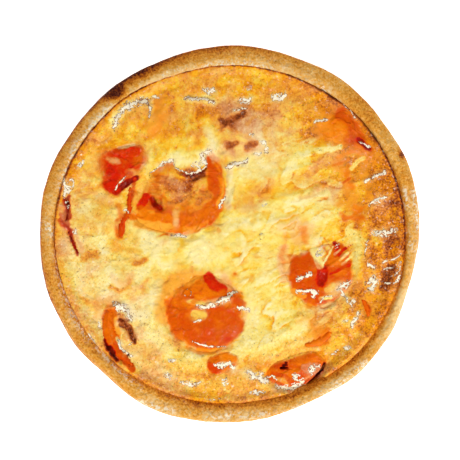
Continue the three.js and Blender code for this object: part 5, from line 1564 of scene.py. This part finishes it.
class QUICHE_OT_custard(bpy.types.Operator):
    """Make the custard with its melted cheese"""

    bl_idname = "quiche.custard"
    bl_label = "Custard and cheese"
    cells = 292

    def execute(self, context):
        s = sizes()
        u, v, quads, border = disc_grid(self.cells)
        edge = s["rim_radius"] - s["wall"] + 0.15
        around = np.arctan2(v, u)
        scale = edge * out_of_round(around) - by_angle(RIM_REACH, around)
        x, y = u * scale, v * scale
        surface = Top(x, y)
        height, fields = surface.height, surface.fields()
        # It lies clear under each chunk, so that only the chunk shows.
        for outline in OUTLINES.values():
            near = outline.outside(x, y)[0] < 1
            under = outline.hidden(x[near], y[near])
            pocket = outline.belly(x[near], y[near]) - 0.4
            pocket = np.minimum(pocket, height[near] - 0.5)
            height[near] += (pocket - height[near]) * smoothstep(-under, 0, 0.5)
        height = strip_tops(x, y, height)
        # It stands up a little round the chunks.
        height += 0.1 * np.exp(-(((surface.hidden - 0.5) / 0.5) ** 2))
        share = np.hypot(u, v)
        near = smoothstep(-v / np.maximum(share, 0.01), 0.2, 0.9)
        # A thin darker line where the custard has drawn away from the crust, at the far side: painted shade
        # in the gap.
        joint = smoothstep(share, 1 - 0.8 / edge, 1 - 0.3 / edge) * (1 - near) * smoothstep(v, -0.3, 0.3)
        fields["toast"] = fields["toast"] + 0.3 * joint
        # The edge is rounded off where it meets the crust.
        height -= (0.2 + 0.4 * near) * smoothstep(share, 1 - 1.2 / edge, 1) ** 2
        top = np.stack([x, y, height], axis=1)
        # Rings down the hidden side: how far in towards the base, and their height.
        rings = []
        base_edge = s["base_radius"] - 6
        for part, level in ((0.02, None), (0.3, 14), (1, s["base_thickness"] + 0.4)):
            ring = top[border].copy()
            reach = 1 - part * (1 - base_edge / edge)
            ring[:, :2] *= reach
            ring[:, 2] = ring[:, 2] - 1 if level is None else level
            rings.append(ring)
        points, faces = close_below(top, quads, border, rings)
        extra = len(points) - len(top)
        fields = {k: np.append(np.clip(f, 0, 1), np.full(extra, 0.4)) for k, f in fields.items()}
        custard = make_object("custard_and_cheese", points, faces, custard_material(), fields)
        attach(custard, "root")
        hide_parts("custard_filling")
        return {"FINISHED"}


def tomato_piece(node, points, faces, fields, material):
    """Makes one piece of tomato, in place of its solid."""
    piece = make_object(f"roasted_{node}", points, faces, material, fields)
    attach(piece, "root")
    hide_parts(node)


def chunk_mesh(outline, cells):
    """A chunk's cut face and belly, as points, faces and colour fields."""
    u, v, quads, border = disc_grid(cells)
    reach = outline.radius(np.arctan2(v, u)) + FACE_PAST
    x = outline.centre[0] + u * reach
    y = outline.centre[1] + v * reach
    surface = Top(x, y)
    # Where the custard hides it, the face dips under the custard.
    height = surface.height - 0.4 * smoothstep(surface.hidden, 0, 0.6)
    top = np.stack([x, y, height], axis=1)
    belly = []
    for out, down in reversed(BELLY[1:]):
        ring = top[border].copy()
        ring[:, :2] = outline.centre + (ring[:, :2] - outline.centre) * out * 0.97
        ring[:, 2] = outline.edge - 0.1 - down * (outline.edge - outline.foot)
        belly.append(ring)
    points, faces = close_below(top, quads, border, belly)
    extra = len(points) - len(top)
    fields = {key: np.append(f, np.full(extra, 0.5)) for key, f in surface.fields().items()}
    return points, faces, fields


class QUICHE_OT_tomato_chunks(bpy.types.Operator):
    """Make the tomato halves and the chunks cut across"""

    bl_idname = "quiche.tomato_chunks"
    bl_label = "Tomato halves and chunks"
    cells = 110

    def execute(self, context):
        material = tomato_material()
        for node, outline in OUTLINES.items():
            tomato_piece(node, *chunk_mesh(outline, self.cells), material)
        return {"FINISHED"}


class QUICHE_OT_tomato_strips(bpy.types.Operator):
    """Make the strips and skins of tomato"""

    bl_idname = "quiche.tomato_strips"
    bl_label = "Tomato strips and skins"
    # Cells of the finer mesh, in mm, and how often it is eased.
    voxel = 0.22
    easings = 8

    def finer(self, node, context):
        """Points and faces of a fine, smooth copy of a solid."""
        copy = CAD_NODES[node].copy()
        copy.data = CAD_NODES[node].data.copy()
        copy.parent = None
        context.scene.collection.objects.link(copy)
        remesh = copy.modifiers.new("Remesh", "REMESH")
        remesh.mode = "VOXEL"
        remesh.voxel_size = self.voxel * MM
        copy.modifiers.new("Smooth", "SMOOTH").iterations = self.easings
        shaped = copy.evaluated_get(context.evaluated_depsgraph_get()).to_mesh()
        points = mesh_points(shaped)
        faces = [list(p.vertices) for p in shaped.polygons]
        copy.to_mesh_clear()
        bpy.data.objects.remove(copy)
        return points, faces

    def execute(self, context):
        material = bpy.data.materials["roasted tomato flesh"]
        for number, node in enumerate(STRIPS):
            points, faces = self.finer(node, context)
            seed = 500 + 10 * number
            up = smoothstep(points[:, 2], points[:, 2].max() - 1.6, points[:, 2].max())
            points[:, 2] += 0.18 * up * fractal(points, 1.8, 2, seed)
            points[:, 0] += 0.16 * fractal(points, 2, 2, seed + 3)
            points[:, 1] += 0.16 * fractal(points, 2, 2, seed + 6)
            fields = Top(points[:, 0], points[:, 1], node).fields()
            tomato_piece(node, points, faces, fields, material)
        return {"FINISHED"}


# The lights stand round the quiche, none overhead, so that flat wet places stay clear, and only the
# small ones are mirrored in it: name, place and side in mm, the name of its power, and mirrored.
LIGHTS = [
    ("near right softbox", (230, -450, 520), 100, "key_power", True),
    ("near left panel", (-350, -520, 480), 300, "fill_power", False),
    ("left panel", (-620, 60, 560), 400, "side_power", False),
    ("right panel", (640, 40, 540), 400, "side_power", False),
    ("far panel", (60, 640, 540), 400, "far_power", False),
    ("left lamp", (-420, 160, 520), 50, "glint_power", True),
    ("far lamp", (120, 430, 520), 50, "glint_power", True),
    ("right lamp", (440, 60, 520), 50, "glint_power", True),
]
# The mirrored lamps are daylight white, and the panels a warm white.
DAYLIGHT = (0.99, 1, 1.04)
WARM_WHITE = (1, 0.965, 0.9)


class QUICHE_OT_stage(bpy.types.Operator):
    """Set the pale floor, the soft lights and the camera"""

    bl_idname = "quiche.stage"
    bl_label = "Floor, lights and camera"
    floor_reach = 900

    def lay_floor(self, context):
        """A sheet of white acrylic on a light table: even white, with hardly any shadow."""
        white = context.scene.quiche_colours.floor
        corners = ((-1, -1, 0), (1, -1, 0), (1, 1, 0), (-1, 1, 0))
        material, shader, add = new_material("backlit white acrylic", {
            "Roughness": 0.9, "Emission Color": (1, 1, 1, 1), "Emission Strength": 0.75})
        cloud = add("TexNoise", {"Scale": 1 / (40 * MM), "Detail": 2})
        shade = 0.97 * np.array(white)
        tint = add("Mix", {"data_type": "RGBA", FIRST: (*white, 1), SECOND: (*shade, 1)}, {0: cloud},
                   output=MIXED)
        link(shader, {"Base Color": tint})
        points = np.array(corners) * self.floor_reach
        floor = make_object("floor", points, [(0, 1, 2, 3)], material, {})
        floor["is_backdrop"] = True

    def hang_lights(self, context):
        """Square lights that face the quiche, in a room that is nearly dark."""
        middle = Vector((0, 0, 22 * MM))
        for name, place, side, power, mirrored in LIGHTS:
            lamp = bpy.data.lights.new(name, "AREA")
            lamp.size = side * MM
            lamp.energy = getattr(context.scene.quiche_stage, power)
            lamp.color = DAYLIGHT if mirrored else WARM_WHITE
            thing = bpy.data.objects.new(name, lamp)
            thing.location = Vector(place) * MM
            thing.rotation_euler = (middle - thing.location).to_track_quat("-Z", "Y").to_euler()
            thing.visible_glossy = mirrored
            context.scene.collection.objects.link(thing)
        world = bpy.data.worlds.new("pale room")
        world.use_nodes = True
        background = world.node_tree.nodes["Background"]
        background.inputs["Color"].default_value = (1, 1, 1, 1)
        background.inputs["Strength"].default_value = 0.08
        context.scene.world = world
        context.scene.view_settings.view_transform = "Standard"

    def set_camera(self, context):
        """Looks down with a slight lean, with the middle a little below the picture's own."""
        stage = context.scene.quiche_stage
        target = Vector((-0.3, 1.7, sizes()["case_height"] - 1)) * MM
        lean, side = stage.tilt, stage.lean_towards
        back = Vector((math.sin(lean) * math.cos(side), math.sin(lean) * math.sin(side), math.cos(lean)))
        right = Vector((0, 1, 0)).cross(back).normalized()
        turn = Matrix((right, back.cross(right), back)).transposed().to_4x4()
        camera = bpy.data.cameras.new("camera")
        camera.angle = 2 * math.atan(0.5 * stage.view_width / stage.distance)
        thing = bpy.data.objects.new("camera", camera)
        thing.matrix_world = Matrix.Translation(target + back * stage.distance) @ turn
        context.scene.collection.objects.link(thing)
        context.scene.camera = thing

    def execute(self, context):
        self.lay_floor(context)
        self.hang_lights(context)
        self.set_camera(context)
        return {"FINISHED"}


class QUICHE_PT_panel(bpy.types.Panel):
    """Lists the quiche's pieces and settings"""

    bl_label = "Quiche"
    bl_idname = "QUICHE_PT_panel"
    bl_space_type = "VIEW_3D"
    bl_region_type = "UI"
    bl_category = "Quiche"

    def draw(self, context):
        for operator in OPERATORS:
            self.layout.operator(operator.bl_idname)
        for name, group in GROUPS.items():
            for key in group.__annotations__:
                self.layout.prop(getattr(context.scene, name), key)


GROUPS = {"quiche_sizes": QuicheSizes, "quiche_colours": QuicheColours, "quiche_stage": QuicheStage}
OPERATORS = (QUICHE_OT_crust, QUICHE_OT_custard, QUICHE_OT_tomato_chunks, QUICHE_OT_tomato_strips,
             QUICHE_OT_stage)


def register():
    """Registers the classes and gives the scene its settings."""
    for item in (*GROUPS.values(), *OPERATORS, QUICHE_PT_panel):
        bpy.utils.register_class(item)
    for name, group in GROUPS.items():
        setattr(bpy.types.Scene, name, bpy.props.PointerProperty(type=group))


def unregister():
    """Takes back what register did."""
    for name in GROUPS:
        delattr(bpy.types.Scene, name)
    for item in (QUICHE_PT_panel, *reversed(OPERATORS), *reversed(GROUPS.values())):
        bpy.utils.unregister_class(item)


def main():
    """Makes the quiche and its stage."""
    register()
    bpy.ops.quiche.crust()
    bpy.ops.quiche.custard()
    bpy.ops.quiche.tomato_chunks()
    bpy.ops.quiche.tomato_strips()
    bpy.ops.quiche.stage()
    boxes = {"cad": CAD_BOX, "visual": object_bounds()}
    boxes = {name: [list(corner) for corner in box] for name, box in boxes.items()}


if __name__ == "__main__":
    main()
